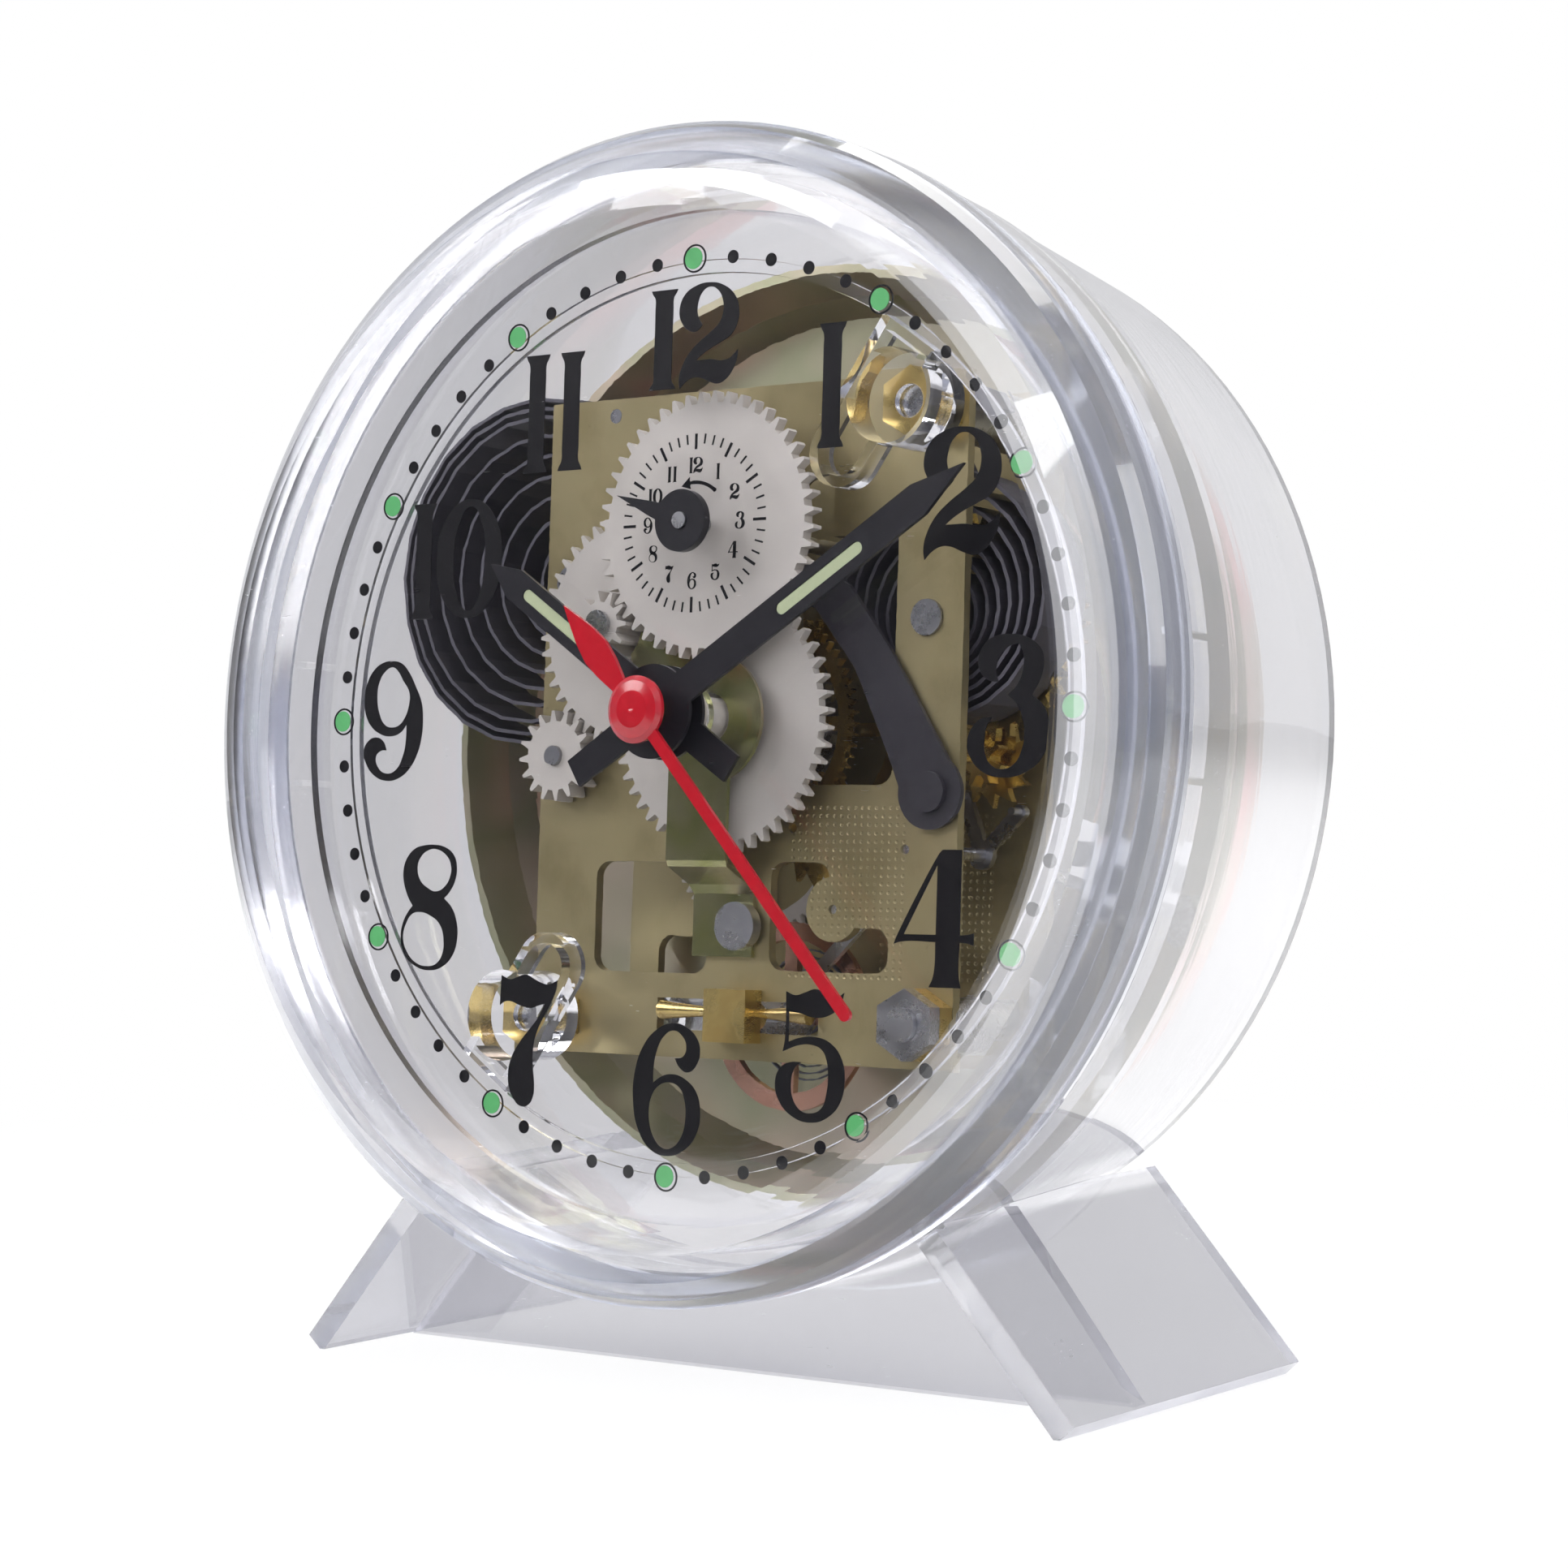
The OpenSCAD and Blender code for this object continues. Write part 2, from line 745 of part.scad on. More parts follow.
module leaf_spring() {
    color([0.45, 0.45, 0.25])
        lean_back() {
            slab(leaf_y, leaf_y + leaf_thick)
                difference() {
                    union() {
                        circle(r = leaf_ring_r);
                        translate(leaf_tip)
                            circle(r = leaf_tip_r);
                        polygon([leaf_tip + leaf_tip_r * [-0.7, -0.7], leaf_ring_r * [-0.87, -0.5],
                            leaf_ring_r * [0.2, 0.95], leaf_tip + leaf_tip_r * [0.5, 0.87]]);
                        translate([strap_x0, strap_low])
                            square([strap_x1 - strap_x0, -strap_low]);
                    }
                    circle(r = leaf_hole_r);
                    translate(minute_at)
                        circle(r = hour_m * (minute_pinion_n / 2 + 1) + air);
                }
            // The strap bends back to its foot on the front plate
            difference() {
                slab_x(strap_x0, strap_x1)
                    polygon(ribbon([[leaf_y + leaf_thick / 2, strap_low + air], [leaf_y + leaf_thick, strap_low - leaf_thick],
                        [front_plate_y - 3 * leaf_thick, leaf_screw_at[1] + 2 * leaf_ring_r / 3],
                        [front_plate_y - leaf_thick / 2 - seat, leaf_screw_at[1] + leaf_ring_r / 2],
                        [front_plate_y - leaf_thick / 2 - seat, leaf_foot_low]], leaf_thick));
                rod(leaf_screw_at, front_plate_y - 2 * leaf_thick, front_plate_y, leaf_screw_r + fit);
            }
        }
}

// Shape seen from the side, y to the right and z up, filling the width from x0 to x1
module slab_x(x0, x1) {
    translate([x0, 0, 0])
        rotate([90, 0, 90])
            linear_extrude(x1 - x0)
                children();
}

leaf_screw_head_r = 2.2;
leaf_screw_head = 1.2;
leaf_screw_r = 1;

module leaf_spring_screw() {
    color("silver")
        lean_back() {
            rod(leaf_screw_at, front_plate_y - leaf_thick - 2 * seat - leaf_screw_head,
                front_plate_y - leaf_thick - 2 * seat, leaf_screw_head_r);
            rod(leaf_screw_at, front_plate_y - leaf_thick - leaf_screw_head, front_plate_end + leaf_thick, leaf_screw_r);
        }
}

lever_end_r = 3.3;
lever_outline = [[24.1, -5], [17, 5.9], [12.2, 12], [4.6, 16.2], [4.6, 18.4], [0, 21.6], [-3.6, 19.6],
    [-2.6, 15.9], [0, 13], [8.6, 10], [13.1, 4.5], [17, -3.4], [19, -8]];
rivet_r = 1;
rivet_head_r = 1.8;
rivet_head = 0.5;

module release_lever() {
    color([0.15, 0.14, 0.16])
        lean_back()
            slab(lever_y, lever_y + lever_thick)
                difference() {
                    union() {
                        polygon(lever_outline);
                        translate(rivet_at)
                            circle(r = lever_end_r);
                    }
                    translate(rivet_at)
                        circle(r = rivet_r + fit);
                    translate(alarm_at)
                        circle(r = spindle_r + air);
                    translate(alarm_wind_at)
                        circle(r = winding_r + 2 * air);
                }
}

module release_rivet() {
    color([0.3, 0.3, 0.32])
        lean_back() {
            rod(rivet_at, lever_y - rivet_head, front_plate_end, rivet_r);
            rod(rivet_at, lever_y - rivet_head - seat, lever_y - 1.6 * seat, rivet_head_r);
            rod(rivet_at, lever_y + lever_thick + 1.6 * seat, front_plate_y - fit, rivet_head_r);
        }
}

// The frame of the movement

plate_left = -23.5;
plate_right = 24;
corner_r = 1.5;
left_window = [-16.3, -23, -3.1, -12.8];
right_window = [[4, -22.5, 17, -18.5], [4, -21, 10.5, -12.7]];
upper_window = [6, -5.8, 16.9, 22];
tab_low = 16.5;
tab_left = 9.8;
boss_window_r = 2.9;
slot = [-8.6, -28.2, 9.7, -25.3];
pivot_clear = 0.04;

module window(w) {
    translate([w[0] + corner_r, w[1]])
        square([w[2] - w[0] - 2 * corner_r, w[3] - w[1]]);
    translate([w[0], w[1] + corner_r])
        square([w[2] - w[0], w[3] - w[1] - 2 * corner_r]);
    for (x = [w[0] + corner_r, w[2] - corner_r]) for (z = [w[1] + corner_r, w[3] - corner_r])
        translate([x, z])
            circle(r = corner_r);
}

module plate_outline() {
    translate([plate_left, -plate_half_h])
        square([plate_right - plate_left, 2 * plate_half_h]);
}

module pivot_holes() {
    for (p = [inter_at, third_at, escape_at, pallet_at, star_at, hammer_at])
        translate(p)
            circle(r = pivot_r + pivot_clear);
    for (p = pillar_at)
        translate(p)
            circle(r = stud_r + fit);
    for (p = [time_at, alarm_wind_at])
        translate(p)
            circle(r = winding_r + pivot_clear);
    translate(alarm_at)
        circle(r = spindle_r + pivot_clear);
    translate(setting_at)
        circle(r = setting_r + pivot_clear);
    translate(spring_post_at)
        circle(r = post_spigot_r);
}

module front_plate() {
    color([0.59, 0.55, 0.39])
        lean_back()
            slab(front_plate_y, front_plate_end)
                difference() {
                    plate_outline();
                    window(left_window);
                    difference() {
                        union() {
                            window(right_window[0]);
                            window(right_window[1]);
                        }
                        translate(pallet_at)
                            circle(r = boss_window_r);
                    }
                    difference() {
                        window(upper_window);
                        translate([tab_left, tab_low])
                            square([upper_window[2] - tab_left, upper_window[3] - tab_low]);
                        translate(escape_at)
                            circle(r = boss_window_r);
                    }
                    translate([slot[0], slot[1]])
                        square([slot[2] - slot[0], slot[3] - slot[1]]);
                    pivot_holes();
                    circle(r = tube_r + pivot_clear);
                    translate(minute_at)
                        circle(r = minute_stud_r);
                    translate(rivet_at)
                        circle(r = rivet_r);
                    translate(leaf_screw_at)
                        circle(r = leaf_screw_r);
                }
}

back_window = [-20, -29, -8, -19.5];
back_staff_hole = 0.3;

module back_plate() {
    color([0.59, 0.55, 0.39])
        lean_back()
            slab(back_plate_y, back_plate_end)
                difference() {
                    plate_outline();
                    window(back_window);
                    pivot_holes();
                    circle(r = seconds_r + pivot_clear);
                    translate(balance_at)
                        circle(r = back_staff_hole + pivot_clear);
                }
}

stud_front = 5.4;
hidden_stud_front = 9;

module pillars() {
    color([0.35, 0.35, 0.37])
        lean_back()
            for (i = [0 : 2])
                difference() {
                    union() {
                        rod(pillar_at[i], front_plate_end, back_plate_y, pillar_r);
                        rod(pillar_at[i], i == 1 ? stud_front : hidden_stud_front, front_plate_end + cut, stud_r);
                    }
                    rod(pillar_at[i], back_plate_y - pillar_tap, back_plate_y + cut, stud_r + fit);
                }
}

module hex(at, y0, y1, af, bore) {
    slab(y0, y1)
        translate(at)
            difference() {
                rotate(30)
                    circle(r = af / 2 / cos(30), $fn = 6);
                circle(r = bore);
            }
}

module pillar_nuts() {
    color("silver")
        lean_back()
            hex(pillar_at[1], nut_front, hex_front - seat, nut_af, stud_r + fit);
}

module hex_spacers() {
    color([0.72, 0.62, 0.3])
        lean_back()
            for (p = pillar_at)
                hex(p, hex_front, front_plate_y - seat, nut_af, stud_r + fit);
}

block_w = 4.7;
block_h = 4.8;
block_front = 7;
block_spigot = 1.3;
cone_z = -26.4;
cone_y = 8.6;
cone_reach = 6;
cone_big_r = 0.85;
cone_small_r = 0.35;

module bearing_block() {
    color([0.66, 0.58, 0.32])
        lean_back()
            difference() {
                union() {
                    translate([balance_at[0] - block_w / 2, block_front, balance_at[1] - block_h / 2])
                        cube([block_w, front_plate_y - seat - block_front, block_h]);
                    rod(balance_at, front_plate_y - block_spigot, front_plate_end + block_spigot, block_spigot);
                }
                rod(balance_at, front_plate_end - cut, front_plate_end + block_spigot + cut, back_staff_hole + pivot_clear);
            }
}

module balance_cones() {
    color([0.3, 0.27, 0.2])
        lean_back() {
            translate([balance_at[0] - block_w / 2 - fit - cone_reach, cone_y, cone_z])
                rotate([0, 90, 0])
                    cylinder(h = cone_reach, r1 = cone_big_r, r2 = cone_small_r);
            translate([balance_at[0] + block_w / 2 + fit, cone_y, cone_z])
                rotate([0, 90, 0])
                    cylinder(h = cone_reach, r1 = cone_small_r, r2 = cone_big_r);
        }
}

post_r = 1;
post_spigot_r = 0.7;

module spring_post() {
    color([0.35, 0.35, 0.37])
        lean_back() {
            rod(spring_post_at, front_plate_end, back_plate_y, post_r);
            rod(spring_post_at, front_plate_y, back_plate_end, post_spigot_r - fit);
        }
}

// The springs

winding_hub_r = 2.2;
steps = 24;
time_turns_in = 7;
time_turns_out = 2;
time_drift = [-6.2, 1.4];
time_inner_r = 3;
time_tight_r = time_coil_r - 2 * (mainspring_thick + 1.25 * pivot_r);
time_in = coil(time_at, time_inner_r, time_tight_r, time_drift, time_turns_in, -1, steps);
time_out = coil(time_at + time_drift, time_tight_r, time_coil_r, [0, 0], time_turns_out, -1, steps);
time_hook = [for (a = [100 : -40 : -60]) spring_post_at + polar((post_r + mainspring_thick / 2 + fit) / cos(20), a)];
time_points = concat([time_at + [0, winding_hub_r + mainspring_thick / 2 + fit]], [for (i = [2 : len(time_in) - 1]) time_in[i]],
    [for (i = [1 : len(time_out) - 1]) time_out[i]], time_hook);
echo("time_mainspring least gap", least_gap(time_points, steps / 2, mainspring_thick));

module time_mainspring() {
    color([0.25, 0.25, 0.28])
        lean_back()
            slab(time_spring_y, time_spring_y + mainspring_w)
                polygon(ribbon(time_points, mainspring_thick));
}

alarm_turns = 7;
alarm_drift = [-0.3, 2.1];
alarm_inner_r = 2.9;
alarm_coil = coil(alarm_wind_at, alarm_inner_r, alarm_coil_r, alarm_drift, alarm_turns, 1, steps);
alarm_hook = [for (a = [210 : -40 : 10]) pillar_at[0] + polar((pillar_r + mainspring_thick / 2 + fit) / cos(20), a)];
alarm_points = concat([alarm_wind_at + [0, winding_hub_r + mainspring_thick / 2 + fit]],
    [for (i = [2 : len(alarm_coil) - 1]) alarm_coil[i]], alarm_hook);
echo("alarm_mainspring least gap", least_gap(alarm_points, steps / 2, mainspring_thick));

module alarm_mainspring() {
    color([0.25, 0.25, 0.28])
        lean_back()
            slab(alarm_spring_y, alarm_spring_y + mainspring_w)
                polygon(ribbon(alarm_points, mainspring_thick));
}

hair_thick = 0.12;
hair_w = 0.6;
hair_turns = 8;
hair_collet_r = 1;
hair_points = coil(balance_at, hair_collet_r + 2 * hair_thick, hairspring_r, [0, 0], hair_turns, 1, steps);
echo("hairspring least gap", least_gap(hair_points, steps / 2, hair_thick));

module hairspring() {
    color([0.35, 0.35, 0.4])
        lean_back()
            slab(hairspring_y, hairspring_y + hair_w)
                polygon(ribbon(hair_points, hair_thick));
}

// The going train

winding_end = key_start + key_depth / 2;
winding_hub = mainspring_w + air;

module winding_arbor(at, spring_y) {
    rod(at, front_plate_y - air, winding_end, winding_r);
    rod(at, spring_y - air, spring_y + winding_hub, winding_hub_r);
}

module time_winding_arbor() {
    color([0.7, 0.7, 0.72])
        lean_back()
            winding_arbor(time_at, time_spring_y);
}

module ratchet(at, y0) {
    slab(y0, y0 + ratchet_thick)
        translate(at)
            difference() {
                saw(ratchet_n, ratchet_r, ratchet_tooth);
                circle(r = winding_r + fit);
            }
}
ratchet_r = 5;
ratchet_tooth = 0.8;

module time_ratchet() {
    color([0.7, 0.7, 0.72])
        lean_back()
            ratchet(time_at, ratchet_y);
}

module spoked_wheel(at, y0, y1, n, m, phase, bore, hub, rim_w, spoke_w, count) {
    root = m * (n / 2 - dedendum_share);
    slab(y0, y1)
        translate(at)
            difference() {
                union() {
                    difference() {
                        teeth(n, m, phase);
                        circle(r = root - rim_w);
                    }
                    difference() {
                        circle(r = root - rim_w + cut / 2);
                        difference() {
                            circle(r = root - rim_w);
                            circle(r = hub);
                            rotate(phase)
                                spokes(0, root, spoke_w, count);
                        }
                    }
                }
                circle(r = bore);
            }
}

click_pivot_at = [-2.2, -6.4];
click_w = 1.6;
click_thick = 0.7;
click_ride = 0.1;
click_tip_dir = -62;
click_rivet_r = 0.5;

module great_wheel(at, y0, n, m, phase) {
    slab(y0, y0 + wheel_thick)
        translate(at)
            difference() {
                teeth(n, m, phase);
                circle(r = winding_r + fit);
                translate(click_pivot_at)
                    circle(r = click_rivet_r + fit);
            }
}

module time_great_wheel() {
    color([0.75, 0.62, 0.3])
        lean_back()
            great_wheel(time_at, great_y, great_n, great_m, great_phase);
}

// Click that rides on the tip of a ratchet tooth, with its rivet through the great wheel
module click(at, y0) {
    slab(y0, y0 + click_thick)
        translate(at)
            union() {
                translate(click_pivot_at)
                    circle(r = click_w / 2);
                polygon([click_pivot_at - [0, click_w / 2], polar(ratchet_r + click_w / 2, click_tip_dir),
                    polar(ratchet_r + click_ride, click_tip_dir), click_pivot_at + [0.2 * click_w, 0.45 * click_w]]);
            }
    rod(at + click_pivot_at, y0 - wheel_thick - 2 * seat, y0 + click_thick, click_rivet_r);
}

module time_click() {
    color([0.6, 0.6, 0.62])
        lean_back()
            click(time_at, ratchet_y);
}

key_hub_r = 2.6;
key_wing_h = 5.5;

module winding_key(at, dir) {
    difference() {
        union() {
            rod(at, key_start, key_start + key_depth, key_hub_r);
            at_spot(at)
                rotate([0, -dir, 0])
                    translate([0, key_start + key_depth - key_wing_h, 0])
                        for (s = [-1, 1])
                            translate([s * (key_reach - key_wing_h) - key_wing_h, 0, -key_wing / 2])
                                cube([2 * key_wing_h, key_wing_h, key_wing]);
        }
        rod(at, key_start - cut, winding_end + seat, winding_r + fit);
    }
}

module time_key() {
    color([0.75, 0.72, 0.55])
        lean_back()
            winding_key(time_at, time_key_dir);
}

module intermediate_wheel() {
    color([0.75, 0.62, 0.3])
        lean_back()
            union() {
                rod(inter_at, front_plate_y + air, back_plate_end - air, pivot_r);
                rod(inter_at, front_plate_end + air, back_plate_y - air, arbor_r);
                slab(great_y - pinion_reach, great_y + wheel_thick + pinion_reach)
                    translate(inter_at)
                        teeth(inter_pinion_n, great_m, inter_pinion_phase);
                slab(inter_y, inter_y + wheel_thick)
                    translate(inter_at)
                        teeth(inter_n, inter_m, inter_phase);
            }
}

module centre_tube() {
    color([0.7, 0.7, 0.72])
        lean_back()
            difference() {
                union() {
                    rod(centre_at, minute_hand_y - hand_thick, tube_end, tube_r);
                    slab(inter_y - pinion_reach, inter_y + wheel_thick + pinion_reach)
                        teeth(centre_pinion_n, inter_m, centre_pinion_phase);
                }
                rod(centre_at, minute_hand_y - cut, tube_end + cut, tube_inner_r);
            }
}

module centre_wheel() {
    color([0.75, 0.62, 0.3])
        lean_back()
            spoked_wheel(centre_at, centre_wheel_y, centre_wheel_y + wheel_thick, centre_n, centre_m,
                centre_phase, tube_r + fit, 2.4 * tube_r, 1.4 * wheel_thick, 1.6 * wheel_thick, 5);
}

module third_arbor() {
    color([0.7, 0.7, 0.72])
        lean_back() {
            rod(third_at, front_plate_y + air, back_plate_end - air, pivot_r);
            rod(third_at, front_plate_end + air, back_plate_y - air, pivot_r + seat);
            slab(centre_wheel_y - pinion_reach, centre_wheel_y + wheel_thick + pinion_reach)
                translate(third_at)
                    teeth(third_pinion_n, centre_m, third_pinion_phase);
        }
}

module third_wheel() {
    color([0.93, 0.93, 0.92])
        lean_back()
            spoked_wheel(third_at, third_y, third_y + wheel_thick, third_n, third_m, third_phase,
                pivot_r + seat + fit, 4 * arbor_r, 1.6 * wheel_thick, 2 * wheel_thick, 4);
}

module seconds_arbor() {
    color([0.7, 0.7, 0.72])
        lean_back() {
            rod(centre_at, second_hand_y + second_cap, back_plate_end - air, seconds_r);
            slab(third_y - pinion_reach, third_y + wheel_thick + air)
                teeth(fourth_pinion_n, third_m, fourth_pinion_phase);
        }
}

module fourth_wheel() {
    color([0.75, 0.62, 0.3])
        lean_back()
            spoked_wheel(centre_at, fourth_y, fourth_y + wheel_thick, fourth_n, fourth_m, fourth_phase,
                seconds_r + fit, 3.5 * seconds_r, 1.4 * wheel_thick, 1.6 * wheel_thick, 4);
}

escape_r = 5.4;
escape_tooth = 1.5;

module escape_wheel() {
    color([0.8, 0.68, 0.35])
        lean_back()
            union() {
                rod(escape_at, front_plate_y + air, back_plate_end - air, pivot_r);
                slab(escape_wheel_y, escape_wheel_y + wheel_thick)
                    translate(escape_at)
                        saw(escape_n, escape_r, escape_tooth);
                slab(fourth_y - pinion_reach, fourth_y + wheel_thick + pinion_reach)
                    translate(escape_at)
                        teeth(escape_pinion_n, fourth_m, escape_pinion_phase);
            }
}

pallet_pin_r = 0.25;
pallet_half = 32;
pallet_clear = 0.4;
fork_thick = 0.6;
impulse_r = 2.2;
impulse_pin_r = 0.22;
fork_slot = 0.75;
fork_w = 1.2;

// Ends of the two pallet pins, just outside the tips of the escape wheel
pallet_dir = way(escape_at, pallet_at);
pallet_pins = [for (s = [-1, 1]) escape_at + polar(escape_r + pallet_pin_r + pallet_clear, pallet_dir + s * pallet_half)];
fork_dir = way(pallet_at, balance_at);
fork_reach = norm(balance_at - pallet_at) - impulse_r;

module bar(p, q, w) {
    translate(p)
        rotate(way(p, q))
            translate([0, -w / 2])
                square([norm(q - p), w]);
}

module pallet_fork() {
    color([0.7, 0.7, 0.72])
        lean_back()
            union() {
                rod(pallet_at, front_plate_y + air, back_plate_end - air, pivot_r);
                slab(fork_y, fork_y + fork_thick)
                    union() {
                        translate(pallet_at)
                            circle(r = fork_w);
                        for (p = pallet_pins) {
                            bar(pallet_at, p, fork_w);
                            translate(p)
                                circle(r = fork_w / 2);
                        }
                        difference() {
                            union() {
                                bar(pallet_at, pallet_at + polar(fork_reach - fork_w, fork_dir), fork_w);
                                translate(pallet_at + polar(fork_reach, fork_dir))
                                    rotate(fork_dir)
                                        square([2 * fork_w, 2 * fork_w], center = true);
                            }
                            translate(pallet_at + polar(fork_reach + fork_w / 2, fork_dir))
                                rotate(fork_dir)
                                    square([2 * fork_w, fork_slot], center = true);
                        }
                    }
                for (p = pallet_pins)
                    rod(p, escape_wheel_y - seat, fork_y + fork_thick, pallet_pin_r);
            }
}

balance_rim_w = 1.6;
balance_hub_r = 1.9;
balance_spoke = 1.4;
staff_front = front_plate_end + air / 2;
staff_r = 0.5;
roller_r = 3;

module balance_wheel() {
    color([0.85, 0.7, 0.5])
        lean_back()
            slab(balance_y, balance_y + wheel_thick)
                translate(balance_at)
                    difference() {
                        circle(r = balance_r);
                        difference() {
                            circle(r = balance_r - balance_rim_w);
                            circle(r = balance_hub_r);
                            rotate(fork_dir + 45)
                                spokes(-balance_r, balance_r - balance_rim_w / 2, balance_spoke, 1);
                            rotate(fork_dir + 135)
                                spokes(-balance_r, balance_r - balance_rim_w / 2, balance_spoke, 1);
                        }
                        circle(r = staff_r + fit);
                    }
}

module balance_staff() {
    color([0.7, 0.7, 0.72])
        lean_back() {
            rod(balance_at, staff_front, back_plate_end - air, back_staff_hole);
            rod(balance_at, front_plate_end + block_spigot + air, back_plate_y - air, staff_r);
            // Roller with the impulse pin that works in the fork's slot
            rod(balance_at, balance_y - wheel_thick, balance_y - seat, roller_r);
            rod(balance_at + polar(impulse_r, fork_dir + 180), fork_y - air, balance_y - wheel_thick + seat, impulse_pin_r);
            difference() {
                rod(balance_at, hairspring_y - air, hairspring_y + hair_w + air, hair_collet_r);
                rod(balance_at, hairspring_y - cut, hairspring_y + cut, staff_r - seat);
            }
        }
}

regulator_y = back_plate_end + seat;
regulator_thick = 0.5;
regulator_hub_r = 3;
regulator_reach = 7.5;
regulator_w = 1.6;
regulator_finger_end = 36.5;
regulator_swing = 20;

module regulator_lever() {
    color("silver")
        lean_back()
            difference() {
                union() {
                    rod(balance_at, regulator_y, regulator_y + regulator_thick, regulator_hub_r);
                    slab(regulator_y, regulator_y + regulator_thick)
                        bar(balance_at, balance_at + [0, regulator_reach + regulator_w / 2], regulator_w);
                    translate([balance_at[0] - regulator_w / 2, regulator_y, balance_at[1] + regulator_reach - regulator_thick / 2])
                        cube([regulator_w, regulator_finger_end - regulator_y, regulator_thick]);
                }
                rod(balance_at, regulator_y - cut, regulator_y + cut, staff_r);
            }
}

// Curved slot that the regulator's finger moves in
module regulator_slot(y0, y1) {
    slab(y0, y1)
        translate(balance_at)
            difference() {
                intersection() {
                    circle(r = regulator_reach + regulator_thick);
                    polygon([[0, 0], polar(2 * regulator_reach, 90 - regulator_swing), polar(2 * regulator_reach, 90 + regulator_swing)]);
                }
                circle(r = regulator_reach - regulator_thick);
            }
}

// Setting the hands

setting_front = 6.6;
knob_start = back_y + seat;

module setting_arbor() {
    color([0.7, 0.7, 0.72])
        lean_back() {
            rod(setting_at, setting_front, knob_start + knob_depth - 2 * seat, setting_r);
            rod(setting_at, front_plate_end + seat, front_plate_end + 2 * air, setting_r + 2 * air);
        }
}

knurl_n = 24;
knurl_r = 0.35;

module knob(at, bore, tip) {
    slab(knob_start + seat, knob_start + knob_depth)
        translate(at)
            difference() {
                circle(r = knob_r);
                for (i = [0 : knurl_n - 1])
                    translate(polar(knob_r, i * 360 / knurl_n))
                        circle(r = knurl_r, $fn = 12);
                circle(r = bore);
            }
}

module setting_knob() {
    color([0.15, 0.15, 0.16])
        lean_back()
            knob(setting_at, setting_r + fit);
}

// The alarm train

module alarm_winding_arbor() {
    color([0.7, 0.7, 0.72])
        lean_back()
            winding_arbor(alarm_wind_at, alarm_spring_y);
}

module alarm_ratchet() {
    color([0.7, 0.7, 0.72])
        lean_back()
            ratchet(alarm_wind_at, alarm_ratchet_y);
}

module alarm_great_wheel() {
    color([0.75, 0.62, 0.3])
        lean_back()
            great_wheel(alarm_wind_at, alarm_great_y, alarm_great_n, alarm_m, alarm_great_phase);
}

module alarm_click() {
    color([0.6, 0.6, 0.62])
        lean_back()
            click(alarm_wind_at, alarm_ratchet_y);
}

module alarm_key() {
    color([0.75, 0.72, 0.55])
        lean_back()
            winding_key(alarm_wind_at, alarm_key_dir);
}

star_r = 4.2;
star_tooth = 1.3;

module star_wheel() {
    color([0.75, 0.62, 0.3])
        lean_back()
            union() {
                rod(star_at, front_plate_y + air, back_plate_end - air, pivot_r);
                slab(star_y, star_y + wheel_thick)
                    translate(star_at)
                        saw(star_n, star_r, star_tooth);
                slab(alarm_great_y - pinion_reach, alarm_great_y + wheel_thick + pinion_reach)
                    translate(star_at)
                        teeth(star_pinion_n, alarm_m, star_pinion_phase);
            }
}

bell_taper = 2.6;
anchor_half = 38;
anchor_pin_r = 0.35;
anchor_y = 21.6;
anchor_thick = 0.7;
anchor_w = 1.3;
rod_y = 25.6;
rod_r = 0.6;
head_r = 2.2;
head_y0 = 23.2;
head_y1 = 27;
strike_gap = 0.9;
hammer_dir = -16;
star_to_hammer = way(star_at, hammer_at);
anchor_pins = [for (s = [-1, 1]) star_at + polar(star_r + anchor_pin_r + pallet_clear, star_to_hammer + s * anchor_half)];
// The head stands one strike gap inside the bell's wall
bell_inner_r = bell_r - bell_thick - bell_taper * (head_y1 - bell_front) / bell_depth;
head_limit = bell_inner_r - head_r - strike_gap;
head_along = let (b = hammer_at * polar(1, hammer_dir)) -b + sqrt(b * b - hammer_at * hammer_at + head_limit * head_limit);
head_at = hammer_at + polar(head_along, hammer_dir);

module alarm_hammer() {
    color([0.6, 0.6, 0.62])
        lean_back()
            union() {
                rod(hammer_at, front_plate_y + air, rod_y + rod_r, pivot_r);
                rod(hammer_at, front_plate_end + air, back_plate_y - air, arbor_r);
                slab(anchor_y, anchor_y + anchor_thick)
                    union() {
                        translate(hammer_at)
                            circle(r = anchor_w);
                        for (p = anchor_pins) {
                            bar(hammer_at, p, anchor_w);
                            translate(p)
                                circle(r = anchor_w / 2);
                        }
                    }
                for (p = anchor_pins)
                    rod(p, star_y - seat, anchor_y + anchor_thick, anchor_pin_r);
                translate([hammer_at[0], rod_y, hammer_at[1]])
                    rotate([0, 90 - hammer_dir, 0])
                        cylinder(h = head_along, r = rod_r);
                rod(head_at, head_y0, head_y1, head_r);
            }
}

spindle_front = -1.3;

module alarm_spindle() {
    color([0.7, 0.7, 0.72])
        lean_back() {
            rod(alarm_at, spindle_front, knob_start + knob_depth - 2 * seat, spindle_r);
            rod(alarm_at, front_plate_end + seat, front_plate_end + 2 * air, spindle_r + 2 * air);
        }
}

module alarm_set_knob() {
    color([0.15, 0.15, 0.16])
        lean_back()
            knob(alarm_at, spindle_r + fit);
}

bell_hole_r = 3.3;

// Radius and depth along the bell's wall as shares of its own radius and depth
bell_shares = [[1, 0], [0.97, 0.7], [0.93, 1], [0.69, 1], [0.69, 0.9], [0.62, 0.9], [0.62, 1], [0.3, 1]];

